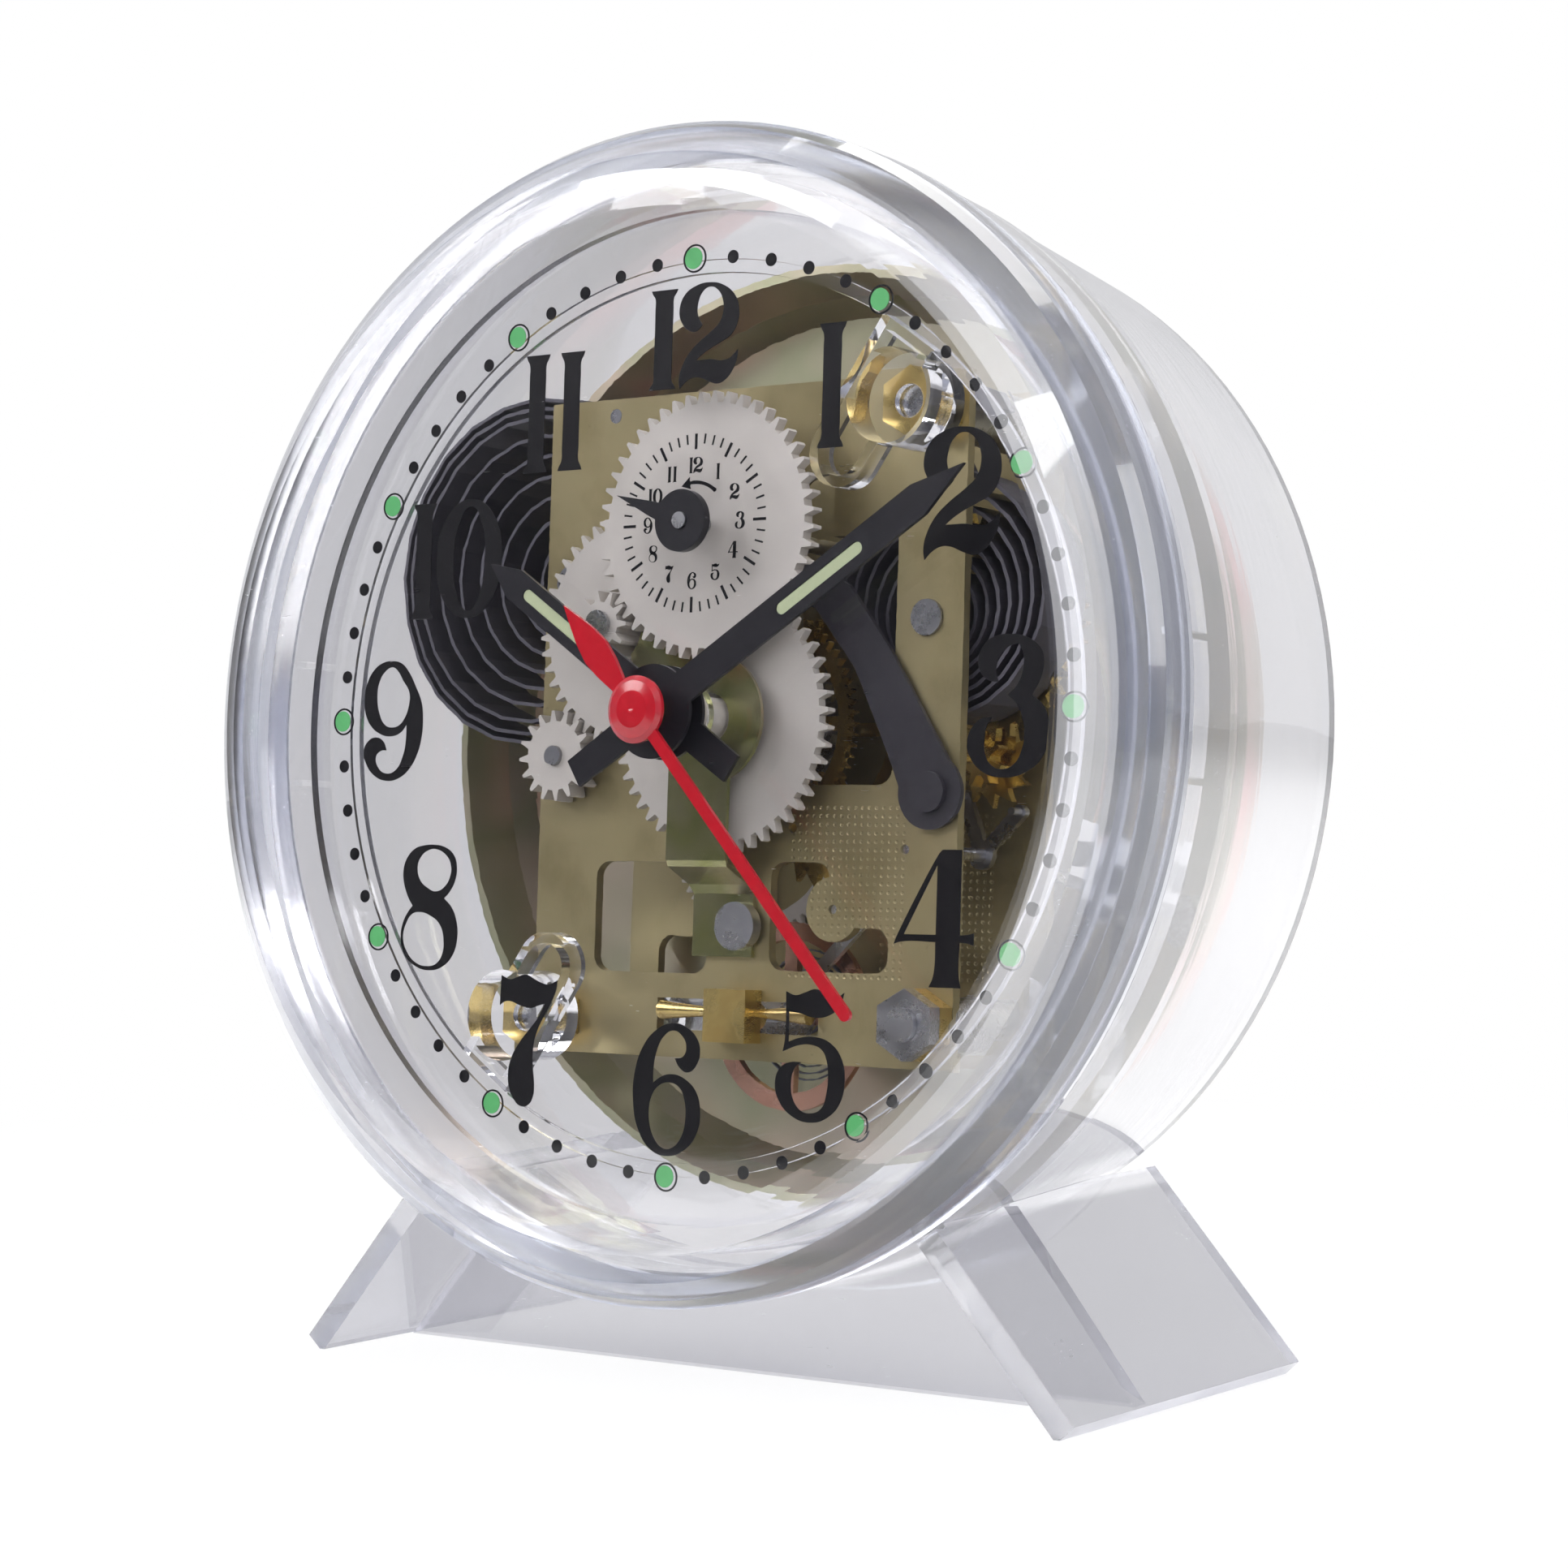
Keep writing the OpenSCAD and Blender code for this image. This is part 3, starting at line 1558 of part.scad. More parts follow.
module bell() {
    color([0.7, 0.62, 0.35])
        lean_back()
            difference() {
                lathe(concat([for (s = bell_shares) [bell_r * s[0], bell_front + (bell_depth - bell_thick) * s[1]]],
                    [[0, bell_seat_y - bell_thick], [0, bell_seat_y]],
                    [for (i = [len(bell_shares) - 1 : -1 : 1]) [bell_r * bell_shares[i][0] + bell_thick / 2,
                        bell_front + (bell_depth - bell_thick) * bell_shares[i][1] + bell_thick]],
                    [[bell_r + bell_thick, bell_front]]));
                for (p = pillar_at)
                    rod(p, bell_front, bell_seat_y + cut, boss_r + air);
                for (p = [time_at, alarm_wind_at, setting_at, alarm_at, stop_at])
                    rod(p, bell_front, bell_seat_y + cut, bell_hole_r);
                rod(centre_at, bell_front, bell_seat_y + cut, stud_r + fit);
                regulator_slot(bell_front, bell_seat_y + cut);
            }
}

bell_nut = 2;

module bell_screw() {
    color("silver")
        lean_back()
            difference() {
                union() {
                    rod(centre_at, bell_seat_y - bell_thick - bell_nut - seat, back_y + screw_head, stud_r);
                    rod(centre_at, back_y + seat, back_y + screw_head, screw_head_r);
                    slab(bell_seat_y - bell_thick - bell_nut - seat, bell_seat_y - bell_thick - seat)
                        circle(r = nut_af / 2 / cos(30), $fn = 6);
                }
                translate([-screw_head_r - cut, back_y + screw_head / 2, -screw_slot / 2])
                    cube([2 * (screw_head_r + cut), screw_head, screw_slot]);
            }
}

stop_r = 1.2;
stop_head_r = 2.6;
stop_front = 27.6;
stop_travel = 2.5;
stop_head = 2;

module alarm_stop_pin() {
    color([0.15, 0.15, 0.16])
        lean_back() {
            rod(stop_at, stop_front, back_y + stop_travel + stop_head, stop_r);
            rod(stop_at, back_y + stop_travel + air, back_y + stop_travel + air + stop_head, stop_head_r);
        }
}

rear_case();
front_lens();
dial();
case_screws();
minute_hand();
hour_hand();
second_hand();
alarm_hand();
cannon_pinion();
minute_wheel();
hour_wheel();
alarm_wheel();
setting_pinion();
minute_wheel_stud();
leaf_spring();
leaf_spring_screw();
release_lever();
release_rivet();
front_plate();
back_plate();
pillars();
pillar_nuts();
hex_spacers();
bearing_block();
balance_cones();
spring_post();
time_mainspring();
time_winding_arbor();
time_ratchet();
time_great_wheel();
time_click();
time_key();
intermediate_wheel();
centre_tube();
centre_wheel();
third_wheel();
third_arbor();
seconds_arbor();
fourth_wheel();
escape_wheel();
pallet_fork();
balance_wheel();
balance_staff();
hairspring();
regulator_lever();
setting_arbor();
setting_knob();
alarm_mainspring();
alarm_winding_arbor();
alarm_ratchet();
alarm_great_wheel();
alarm_click();
alarm_key();
star_wheel();
alarm_hammer();
alarm_spindle();
alarm_set_knob();
bell();
bell_screw();
alarm_stop_pin();
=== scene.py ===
import json
import math
import bmesh
import bpy
from mathutils import Matrix, Vector


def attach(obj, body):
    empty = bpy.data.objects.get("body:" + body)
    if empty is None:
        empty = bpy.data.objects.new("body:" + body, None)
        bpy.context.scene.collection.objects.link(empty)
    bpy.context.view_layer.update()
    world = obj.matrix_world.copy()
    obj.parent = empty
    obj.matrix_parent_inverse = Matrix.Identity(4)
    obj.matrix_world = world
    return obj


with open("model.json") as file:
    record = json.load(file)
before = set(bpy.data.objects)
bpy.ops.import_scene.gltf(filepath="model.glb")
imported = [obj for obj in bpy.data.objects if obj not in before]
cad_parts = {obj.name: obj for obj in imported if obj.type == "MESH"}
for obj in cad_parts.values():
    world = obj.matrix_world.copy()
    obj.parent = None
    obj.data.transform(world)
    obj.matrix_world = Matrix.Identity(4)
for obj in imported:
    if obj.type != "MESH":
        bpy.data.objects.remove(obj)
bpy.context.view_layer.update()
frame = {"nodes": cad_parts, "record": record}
nodes = frame["nodes"]


# The camera stands to the right of the clock, level with the lower half of the dial, and sees
# the drum's right side.
camera = bpy.data.objects.new("camera", bpy.data.cameras.new("camera"))
camera.location = (0.192333, -0.262795, 0.054279)
camera.rotation_euler = [math.radians(a) for a in (89.8522, 0.4558, 36.387)]
camera.data.lens = 80.3887
camera.data.sensor_width = 36
camera.data.clip_start = 0.01
bpy.context.scene.collection.objects.link(camera)
bpy.context.scene.camera = camera
bpy.context.scene.view_settings.view_transform = "Standard"


# The case: a clear drum moulded in one with its two splayed feet, closed in front by the crystal.
# Both are clear polystyrene, slightly lilac through its thickness, with fine scuffs from handling
# and faint waves from the mould. The crystal's rim and the feet are tinted darker, partly the
# plastic's own tint and partly painted shade, and the crystal's corner carries a painted highlight.
class Wire:
    """A shader socket on which Python's arithmetic makes Math nodes."""

    def __init__(self, finish, socket):
        self.finish, self.socket = finish, socket

    def math(self, operation, first, second=0.0, third=0.0):
        return self.finish.node(
            "ShaderNodeMath", {"operation": operation}, {0: first, 1: second, 2: third})

    def __add__(self, other):
        return self.math("ADD", self, other)

    def __mul__(self, other):
        return self.math("MULTIPLY", self, other)

    def __sub__(self, other):
        return self.math("SUBTRACT", self, other)

    def __rsub__(self, other):
        return self.math("SUBTRACT", other, self)

    __radd__ = __add__
    __rmul__ = __mul__

    def root(self):
        return self.math("SQRT", self)

    def step(self, low, high):
        """0 below low, 1 above high, and smooth between them."""
        return self.finish.node(
            "ShaderNodeMapRange", {"interpolation_type": "SMOOTHSTEP"},
            {"Value": self, "From Min": low, "From Max": high})


class Finish:
    """A material, or the world, and the one way that its nodes are made."""

    def __init__(self, owner):
        owner.use_nodes = True
        self.owner, self.tree = owner, owner.node_tree
        self.tree.nodes.clear()

    def node(self, kind, settings=(), sockets=(), output=0):
        """A node with its settings and its sockets' wires or values, as the wire of one output."""
        made = self.tree.nodes.new(kind)
        for name, value in dict(settings).items():
            if name == "stops":
                points = made.color_ramp.elements
                points[0].position, points[1].position = value[0][0], value[-1][0]
                for place, _ in value[1:-1]:
                    points.new(place)
                for point, (_, colour) in zip(points, value):
                    point.color = (*colour, 1)
            else:
                setattr(made, name, value)
        for name, value in dict(sockets).items():
            if isinstance(value, Wire):
                self.tree.links.new(value.socket, made.inputs[name])
            elif isinstance(value, tuple) and len(value) == 3 and made.inputs[name].type == "RGBA":
                made.inputs[name].default_value = (*value, 1)
            else:
                made.inputs[name].default_value = value
        return Wire(self, made.outputs[output])

    def place(self, scale=(1, 1, 1), turn=(0, 0, 0)):
        """Object coordinates in millimetres, stretched and turned."""
        coordinates = self.node("ShaderNodeTexCoord", output=3)
        return self.node(
            "ShaderNodeMapping", {},
            {0: coordinates, "Scale": tuple(1000 * s for s in scale), "Rotation": turn})

    def noise(self, where, size, detail=3.0, rough=0.5):
        return self.node("ShaderNodeTexNoise", {}, {
            "Vector": where, "Scale": 1 / size, "Detail": detail, "Roughness": rough})

    def mix(self, share, first, second, blend="MIX"):
        return self.node(
            "ShaderNodeMix", {"data_type": "RGBA", "blend_type": blend},
            {0: share, 6: first, 7: second}, 2)

    def ramp(self, value, *stops):
        return self.node("ShaderNodeValToRGB", {"stops": stops}, {0: value})

    def bump(self, height, depth, strength=1.0):
        """A relief of that depth in millimetres."""
        return self.node("ShaderNodeBump", {}, {
            "Height": height, "Distance": depth / 1000, "Strength": strength})

    def surface(self, **sockets):
        named = {name.replace("_", " "): value for name, value in sockets.items()}
        return self.node("ShaderNodeBsdfPrincipled", {}, named)

    def done(self, shader, kind="ShaderNodeOutputMaterial"):
        end = self.tree.nodes.new(kind)
        self.tree.links.new(shader.socket, end.inputs["Surface"])
        return self.owner


def material(name):
    return Finish(bpy.data.materials.new(name))


def tone(red, green, blue):
    """A screen colour, 0 to 255, as the linear light that the shader works in."""
    return tuple(((c / 255 + 0.055) / 1.055) ** 2.4 if c > 10 else c / 255 / 12.92
                 for c in (red, green, blue))


def coat(finish, *names):
    """Gives CAD nodes their finish."""
    for name in names:
        nodes[name].data.materials.clear()
        nodes[name].data.materials.append(finish)


lean = math.radians(3.7)
drum_height = 59.7
dial_forward = 17.1223


def clear_plastic(name, tint, scuffs, clearness, edge_from, edge_tint_and_shading, edge_blur,
                  calm_inside=0, milky_highlight=None, feet_tint_and_shade=None):
    """See-through plastic, whose thick edge begins at the radius edge_from, in millimetres.

    Inside the radius calm_inside it hardly bends light. The milky band gives two radii, a depth
    behind the dial's face and a share: between the radii and behind that depth the plastic is so
    much white, faint all round and nearly all of it on the side of the 3, where it is a painted
    highlight. The edge's tint, darkest on the crystal's rim, and outside the drum the feet's tint
    in its place, are partly the plastic's own tint and partly painted shade.
    """
    f = material(name)
    where = f.place()
    x, y, height = (f.node("ShaderNodeSeparateXYZ", {}, {0: where}, axis) for axis in range(3))
    face = dial_forward * math.cos(lean) + drum_height * math.sin(lean)
    depth = y * math.cos(lean) - height * math.sin(lean) + face
    z = height - drum_height
    radius = (x * x + z * z).root()
    soft_edge = 0.1

    edge = radius.step(edge_from, edge_from + 0.5)
    round_it = f.node("ShaderNodeCombineXYZ", {}, {
        0: radius * 0.6, 1: y, 2: x.math("ARCTAN2", x, z) * 3})
    streaks = f.noise(round_it, 1.3, 3)
    waves = f.noise(where, 9, 1) + streaks * 0.5
    scratched = f.place(scale=(0.15, 1, 2.2), turn=(0.4, 0.9, 0.3))
    scuff_lines = f.noise(scratched, 0.35, 2).step(0.66, 0.74)
    wear = f.noise(where, 6, 2).step(0.52, 0.7) * scuff_lines
    # Painted shade, in part: the edge's tint, darkest on the crystal's rim and the feet, stands for
    # the shade in the thick plastic, streaked with a paler tint
    paler = tuple(0.6 + 0.4 * c for c in edge_tint_and_shading)
    edge_colour_with_shade = f.mix(streaks, edge_tint_and_shading, paler)
    if feet_tint_and_shade:
        drum_end_r = 51.5
        edge_colour_with_shade = f.mix(radius.step(drum_end_r, drum_end_r + 1), edge_colour_with_shade, feet_tint_and_shade)

    polish, plastic_ior, calm_ior = 0.015, 1.5, 1.03
    skin = {"Base_Color": f.mix(edge, tint, edge_colour_with_shade), "Transmission_Weight": clearness,
            "Coat_Weight": edge, "Roughness": polish + wear * scuffs + edge * edge_blur,
            "Normal": f.bump(waves, 0.02)}
    body = f.surface(IOR=plastic_ior, **skin)
    if calm_inside:
        calm = f.surface(IOR=calm_ior, **{**skin, "Coat_Weight": 1.0})
        outside = radius.step(calm_inside, calm_inside + soft_edge)
        body = f.node("ShaderNodeMixShader", {}, {0: outside, 1: calm, 2: body})
    if milky_highlight:
        inner, outer, behind, highlight_share = milky_highlight
        share = radius.step(inner, inner + soft_edge) * (1 - radius.step(outer, outer + soft_edge))
        # Painted highlight: the white lies nearly all on the side of the 3, and only faintly
        # elsewhere
        share = share * (0.06 + x.step(12, 42) * 0.94)
        share = share * depth.step(behind, behind + soft_edge) * highlight_share
        white = f.surface(Base_Color=(0.85, 0.85, 0.86), Roughness=0.4)
        body = f.node("ShaderNodeMixShader", {}, {0: share, 1: body, 2: white})

    # Lamps shine through, so that what lies behind the plastic is lit
    lamps = f.node("ShaderNodeLightPath", output="Is Shadow Ray")
    through = f.node("ShaderNodeBsdfTransparent", {}, {"Color": (0.96, 0.96, 0.985)})
    return f.done(f.node("ShaderNodeMixShader", {}, {0: lamps * 0.9, 1: body, 2: through}))


crystal_corner_r = 45.7
rim_from_r = 49.2
all_depths = -99
# The feet's darker tint is partly the plastic's own tint and partly painted shade
coat(clear_plastic("clear_case", tint=(0.9, 0.9, 0.91), scuffs=0.35, clearness=0.93,
                   edge_from=46.5, edge_tint_and_shading=(0.93, 0.93, 0.94), edge_blur=0.05,
                   feet_tint_and_shade=(0.61, 0.61, 0.63)), "rear_case")
# The crystal's corner carries a band of white, a painted highlight on the side of the 3
coat(clear_plastic("clear_lens", tint=(0.97, 0.97, 0.98), scuffs=0.3, clearness=1.0,
                   # The rim's dark blue-lilac tint is partly the plastic's own tint and partly
                   # painted shade
                   edge_from=48.8, edge_tint_and_shading=(0.26, 0.31, 0.46), edge_blur=0.12,
                   calm_inside=rim_from_r,
                   milky_highlight=(crystal_corner_r, rim_from_r + 0.4, all_depths, 0.22)), "front_lens")


# The dial: a clear plate in front of the movement, with its figures, hour dots and minute dots
# screen-printed in black and luminous green on its face.
face_ring_r = 41
dial_back = 1.6
# The ring behind the dial's face carries a band of white, a painted highlight nearly all on the
# side of the 3
coat(clear_plastic("clear_dial", tint=(0.96, 0.96, 0.97), scuffs=0.2, clearness=1.0,
                   edge_from=44.5, edge_tint_and_shading=(0.8, 0.8, 0.85), edge_blur=0.1,
                   milky_highlight=(face_ring_r - 1.4, face_ring_r + 0.1, dial_back - 0.05, 0.42)), "dial")

dial_to_row = (
    Matrix.Scale(0.001, 4) @ Matrix.Translation((0, -dial_forward, drum_height))
    @ Matrix.Rotation(-lean, 4, "X"))


def add_piece(name, mesh, body, slot, *finishes):
    for finish in finishes:
        mesh.materials.append(finish)
    piece = bpy.data.objects.new(name, mesh)
    bpy.context.scene.collection.objects.link(piece)
    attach(piece, body)
    return piece


def evaluated_mesh(source):
    """The finished mesh of a curve or of a mesh with a modifier, which is then thrown away."""
    bpy.context.scene.collection.objects.link(source)
    bpy.context.view_layer.update()
    graph = bpy.context.evaluated_depsgraph_get()
    mesh = bpy.data.meshes.new_from_object(source.evaluated_get(graph))
    bpy.data.objects.remove(source)
    return mesh


def cut_flat(name, loops, front, back, resolution=6):
    """A flat shape cut along outlines, between two depths behind the dial's face.

    A point of an outline is its place to the right of the centre and above it, in millimetres,
    with a third value where the outline has a corner.
    """
    sheet = bpy.data.curves.new(name, "CURVE")
    sheet.dimensions, sheet.fill_mode = "2D", "BOTH"
    sheet.extrude, sheet.resolution_u = (back - front) / 2, resolution
    for loop in loops:
        spline = sheet.splines.new("BEZIER")
        spline.bezier_points.add(len(loop) - 1)
        spline.use_cyclic_u = True
        for point, (x, z, *corner) in zip(spline.bezier_points, loop):
            point.co = (x, z, 0)
            point.handle_left_type = point.handle_right_type = "VECTOR" if corner else "AUTO"
    mesh = evaluated_mesh(bpy.data.objects.new(name, sheet))
    mesh.name = name
    stand_up(mesh, (front + back) / 2)
    return mesh


def stand_up(mesh, depth):
    """Puts a mesh that lies in the drawing's plane on the dial, at a depth in millimetres."""
    shape = bmesh.new()
    shape.from_mesh(mesh)
    bmesh.ops.remove_doubles(shape, verts=shape.verts, dist=1e-4)
    bmesh.ops.recalc_face_normals(shape, faces=shape.faces)
    shape.to_mesh(mesh)
    shape.free()
    mesh.transform(
        dial_to_row @ Matrix.Translation((0, depth, 0)) @ Matrix.Rotation(math.pi / 2, 4, "X"))


def placed(loops, at, centre=(0, 0), scale=(1, 1)):
    """Outlines moved so that their centre comes to a place, and scaled about it."""
    return [[(at[0] + (x - centre[0]) * scale[0], at[1] + (z - centre[1]) * scale[1], *corner)
             for x, z, *corner in loop] for loop in loops]


figure_one = [[
    (-1.42, 5.47, 1), (1.42, 5.47, 1), (1.28, 5.1), (1, 4.6), (0.97, 3.4), (0.97, -3.4), (1, -4.6),
    (1.28, -5.1), (1.42, -5.47, 1), (-1.42, -5.47, 1), (-1.28, -5.1), (-1, -4.6), (-0.97, -3.4),
    (-0.97, 3.4), (-1, 4.6), (-1.28, 5.1)]]
figure_two = [[
    (1.08, 34.9, 1), (0.47, 34.4), (-0.5, 34.55), (-1.34, 35.4), (-1.58, 36.4), (-1.06, 37.75),
    (0.19, 38.5), (1.86, 38.7), (3.4, 38.3), (4.63, 37.3), (5.13, 36), (5, 34.8), (4.36, 33.8),
    (3.2, 33.2), (2, 32.7), (1, 32.15), (0.45, 31.75, 1), (1.2, 31.75), (2.2, 31.75), (3.4, 31.55),
    (4.3, 31.75), (4.9, 32.2), (5.15, 32.45, 1), (5.05, 31.6), (4.6, 30.6), (3.9, 29.85),
    (3, 29.5), (2, 29.75), (1, 30.15), (0.1, 30.2), (-0.7, 29.85), (-1.3, 29.3, 1), (-1.42, 30.1),
    (-1.15, 31.2), (-0.4, 32.4), (0.7, 33.35), (2, 34.2), (2.95, 34.95), (3.38, 35.9), (3.3, 37),
    (2.7, 37.95), (1.75, 38.3), (0.97, 37.9), (0.5, 36.9), (0.5, 35.9)]]
figure_three = [[
    (34.5, 6.2), (36.6, 5.75), (37.8, 4.7), (38, 3.7), (37.7, 2.4), (36.9, 1.05, 1), (38.1, 0.1),
    (38.66, -1.9), (38.2, -3.9), (36.6, -5.3), (34.2, -5.8), (32.2, -5.3), (30.9, -4),
    (30.6, -2.8), (31.1, -1.5), (32.1, -0.8), (33, -0.75, 1), (32.5, -1.5), (32.3, -2.6),
    (32.4, -3.8), (33.1, -4.8), (34.2, -5.1), (35.3, -4.7), (36, -3.6), (36.25, -2.2),
    (36, -0.8), (35.4, 0.4), (34.5, 1.1, 1), (35.5, 2), (36, 3.4), (35.95, 4.5), (35.46, 5.4, 1),
    (34.4, 5.1), (33.6, 4.3), (33.3, 3.2), (33.6, 2.15, 1), (32.5, 2.4), (31.8, 3), (31.5, 4.1),
    (31.9, 5.2), (33, 6)]]
figure_four = [
    [(28.46, -11.84, 1), (30.4, -11.84, 1), (30.4, -19, 1), (31.2, -18.95), (31.8, -18.8, 1),
     (31.8, -19.85, 1), (31.2, -19.68), (30.4, -19.62, 1), (30.36, -22.3), (30.6, -23.43, 1),
     (27.4, -23.43, 1), (27.8, -22.6), (27.96, -21.5), (27.96, -19.62, 1), (24.4, -19.65),
     (23.7, -19.85, 1), (24.1, -19), (28.1, -12.2)],
    [(27.98, -13.1, 1), (27.98, -19, 1), (24.72, -19, 1)]]
figure_five = [[
    (12.6, -24.2, 1), (13.6, -24.5), (14.6, -24.25), (15.7, -23.93), (16.6, -24.2), (17.4, -24.65),
    (18.1, -24.55), (18.75, -24.15, 1), (18.35, -25.3), (17.2, -26.15), (15.7, -26.38),
    (14.1, -26.05), (12.98, -25.95, 1), (12.98, -28.55, 1), (14, -28.2), (15.8, -28.03),
    (17.6, -28.6), (18.7, -29.9), (19.05, -31.6), (18.6, -33.6), (17.3, -34.9), (15.6, -35.4),
    (13.6, -34.95), (12.1, -33.6), (11.68, -32), (12.2, -30.8), (13.2, -30.3), (14.4, -30.25, 1),
    (13.7, -30.8), (13.38, -31.9), (13.6, -33.4), (14.4, -34.35), (15.5, -34.6), (16.7, -34.1),
    (17.2, -32.7), (17.3, -31.2), (17.1, -30), (16.6, -29.15), (15.6, -28.75), (14.2, -28.78),
    (12.4, -29.4, 1), (12.6, -28.4)]]
figure_six = [
    [(0.3, -27.4), (1.8, -27.72), (2.94, -28.6), (3.36, -29.7), (3.1, -30.85), (2.1, -31.68),
     (1.15, -31.3), (0.58, -30.5, 1), (1.5, -30.3), (1.83, -29.4), (1.3, -28.45), (0.3, -28.05),
     (-0.8, -28.65), (-1.5, -29.9), (-1.83, -31.7), (-1.8, -32.75, 1), (-0.85, -32.15),
     (0.35, -31.9), (1.8, -32.3), (3.05, -33.35), (3.55, -34.9), (3.3, -36.9), (2.1, -38.4),
     (0.17, -39.15), (-1.8, -38.7), (-3.3, -37), (-4, -34.4), (-3.9, -31.9), (-3, -29.5),
     (-1.5, -28)],
    [(-2.2, -35.2), (-1.9, -33.85), (-1.1, -32.95), (0.05, -32.65), (1.25, -33.1), (1.83, -34.2),
     (1.97, -35.8), (1.55, -37.4), (0.44, -38.45), (-0.55, -38.45), (-1.55, -37.6),
     (-2.1, -36.3)]]
figure_seven = [[
    (-19.95, -23.7, 1), (-18.9, -24.05), (-18, -23.8), (-16.95, -23.58), (-16, -23.95),
    (-15.2, -24.25), (-14.3, -24.4), (-13.25, -24, 1), (-13.4, -24.9), (-13.9, -26),
    (-14.86, -27.5), (-15.55, -28.8), (-15.9, -30.3), (-15.85, -32), (-15.64, -33.6),
    (-15.75, -34.7), (-16.3, -35.45), (-17.1, -35.6), (-18, -35), (-18.65, -33.8),
    (-18.77, -32.5), (-18.45, -31.2), (-17.5, -29.75), (-16.4, -28.55), (-15.4, -27.45),
    (-14.62, -26.15, 1), (-15.4, -26.35), (-16.3, -26.6), (-17.6, -26.4), (-18.85, -26.05),
    (-19.6, -26.15), (-20.05, -26.45, 1)]]
figure_eight = [
    [(-28.9, -11.73), (-27.4, -11.98), (-26.35, -12.7), (-25.95, -13.7), (-26.1, -15.05),
     (-26.8, -16.2), (-27.4, -16.73, 1), (-26.4, -17.6), (-25.75, -18.9), (-25.6, -20.4),
     (-26.1, -22), (-27.3, -23.1), (-29, -23.5), (-30.8, -23.1), (-32.2, -22), (-32.67, -20.5),
     (-32.4, -19), (-31.7, -17.9), (-31.3, -17.5, 1), (-31.95, -16.6), (-32.5, -15.3),
     (-32.6, -14.1), (-32.2, -13), (-31.2, -12.1), (-30.1, -11.8)],
    [(-30.87, -13.8), (-30.5, -12.9), (-29.6, -12.27), (-28.6, -12.15), (-27.3, -12.7),
     (-26.64, -13.7), (-26.7, -14.65), (-27.3, -15.6), (-28.45, -16.1), (-29.56, -15.76),
     (-30.5, -15.05)],
    [(-32.4, -20.5), (-32.1, -19.2), (-31.4, -18.3), (-30.4, -18.07), (-29, -18.4),
     (-27.8, -19.2), (-27.26, -20.6), (-27.4, -22), (-28.1, -22.85), (-29.1, -23.1),
     (-30.5, -22.9), (-31.8, -21.9)]]
figure_nine = [
    [(-35, 5.7), (-33.8, 5.45), (-32.75, 4.5), (-31.9, 3.2), (-31.1, 1.7), (-30.86, 0.2),
     (-30.94, -1.5), (-31.4, -3.1), (-32.4, -4.6), (-33.8, -5.5), (-35.3, -5.7), (-36.8, -5.2),
     (-37.9, -4.1), (-38.3, -2.9), (-37.8, -1.95), (-36.8, -1.55), (-35.86, -1.9),
     (-35.35, -2.8, 1), (-36.1, -2.85), (-36.7, -3.4), (-36.4, -4.4), (-35.3, -5),
     (-34.06, -4.66), (-33.2, -3.3), (-32.9, -1.74), (-32.9, -0.36, 1), (-33.6, -1.1),
     (-35, -1.48), (-36.3, -1.2), (-37.3, -0.6), (-38.1, 0.48), (-38.4, 2.1), (-38.1, 3.7),
     (-37.1, 5.05), (-36, 5.6)],
    [(-36.8, 2.4), (-36.6, 3.7), (-35.9, 4.7), (-34.95, 5.1), (-34.3, 4.8), (-33.5, 3.8),
     (-32.65, 2.6), (-32.67, 1.45), (-33.1, 0.34), (-33.8, -0.4), (-34.75, -0.63),
     (-35.7, -0.36), (-36.4, 0.6)]]
figure_nought = [
    [(0, 5.6), (2.75, 4.2), (4.05, 0), (2.75, -4.2), (0, -5.6), (-2.75, -4.2), (-4.05, 0),
     (-2.75, 4.2)],
    [(0.1, 4.9), (1.45, 3.3), (2, 0), (1.45, -3.3), (0.1, -4.9), (-1.35, -3.3), (-1.9, 0),
     (-1.35, 3.3)]]
two_centre = (1.785, 34.02)
figures = (
    placed(figure_one, (15.5, 28.45))
    + placed(figure_two, (29.35, 18.35), two_centre, (1.17, 1.19))
    + figure_three + figure_four + figure_five + figure_six + figure_seven + figure_eight
    + figure_nine + placed(figure_one, (-31.45, 15.05)) + placed(figure_nought, (-25.75, 15.1))
    + placed(figure_one, (-18.02, 28.18)) + placed(figure_one, (-13.87, 28.18))
    + placed(figure_one, (-3.32, 33.9), scale=(1.06, 0.827)) + figure_two)

print_depth = 0.06


def print_ink():
    f = material("black_print")
    worn = f.noise(f.place(), 0.12, 2).step(0.72, 0.8)
    return f.done(f.surface(
        Base_Color=f.mix(worn, tone(9, 8, 10), tone(36, 34, 38)), Roughness=0.42 + worn * 0.2,
        Specular_IOR_Level=0.15))


ink = print_ink()
add_piece("dial_figures", cut_flat("dial_figures", figures, -print_depth, 0), "clock_case",
          "clear_plastic", ink)


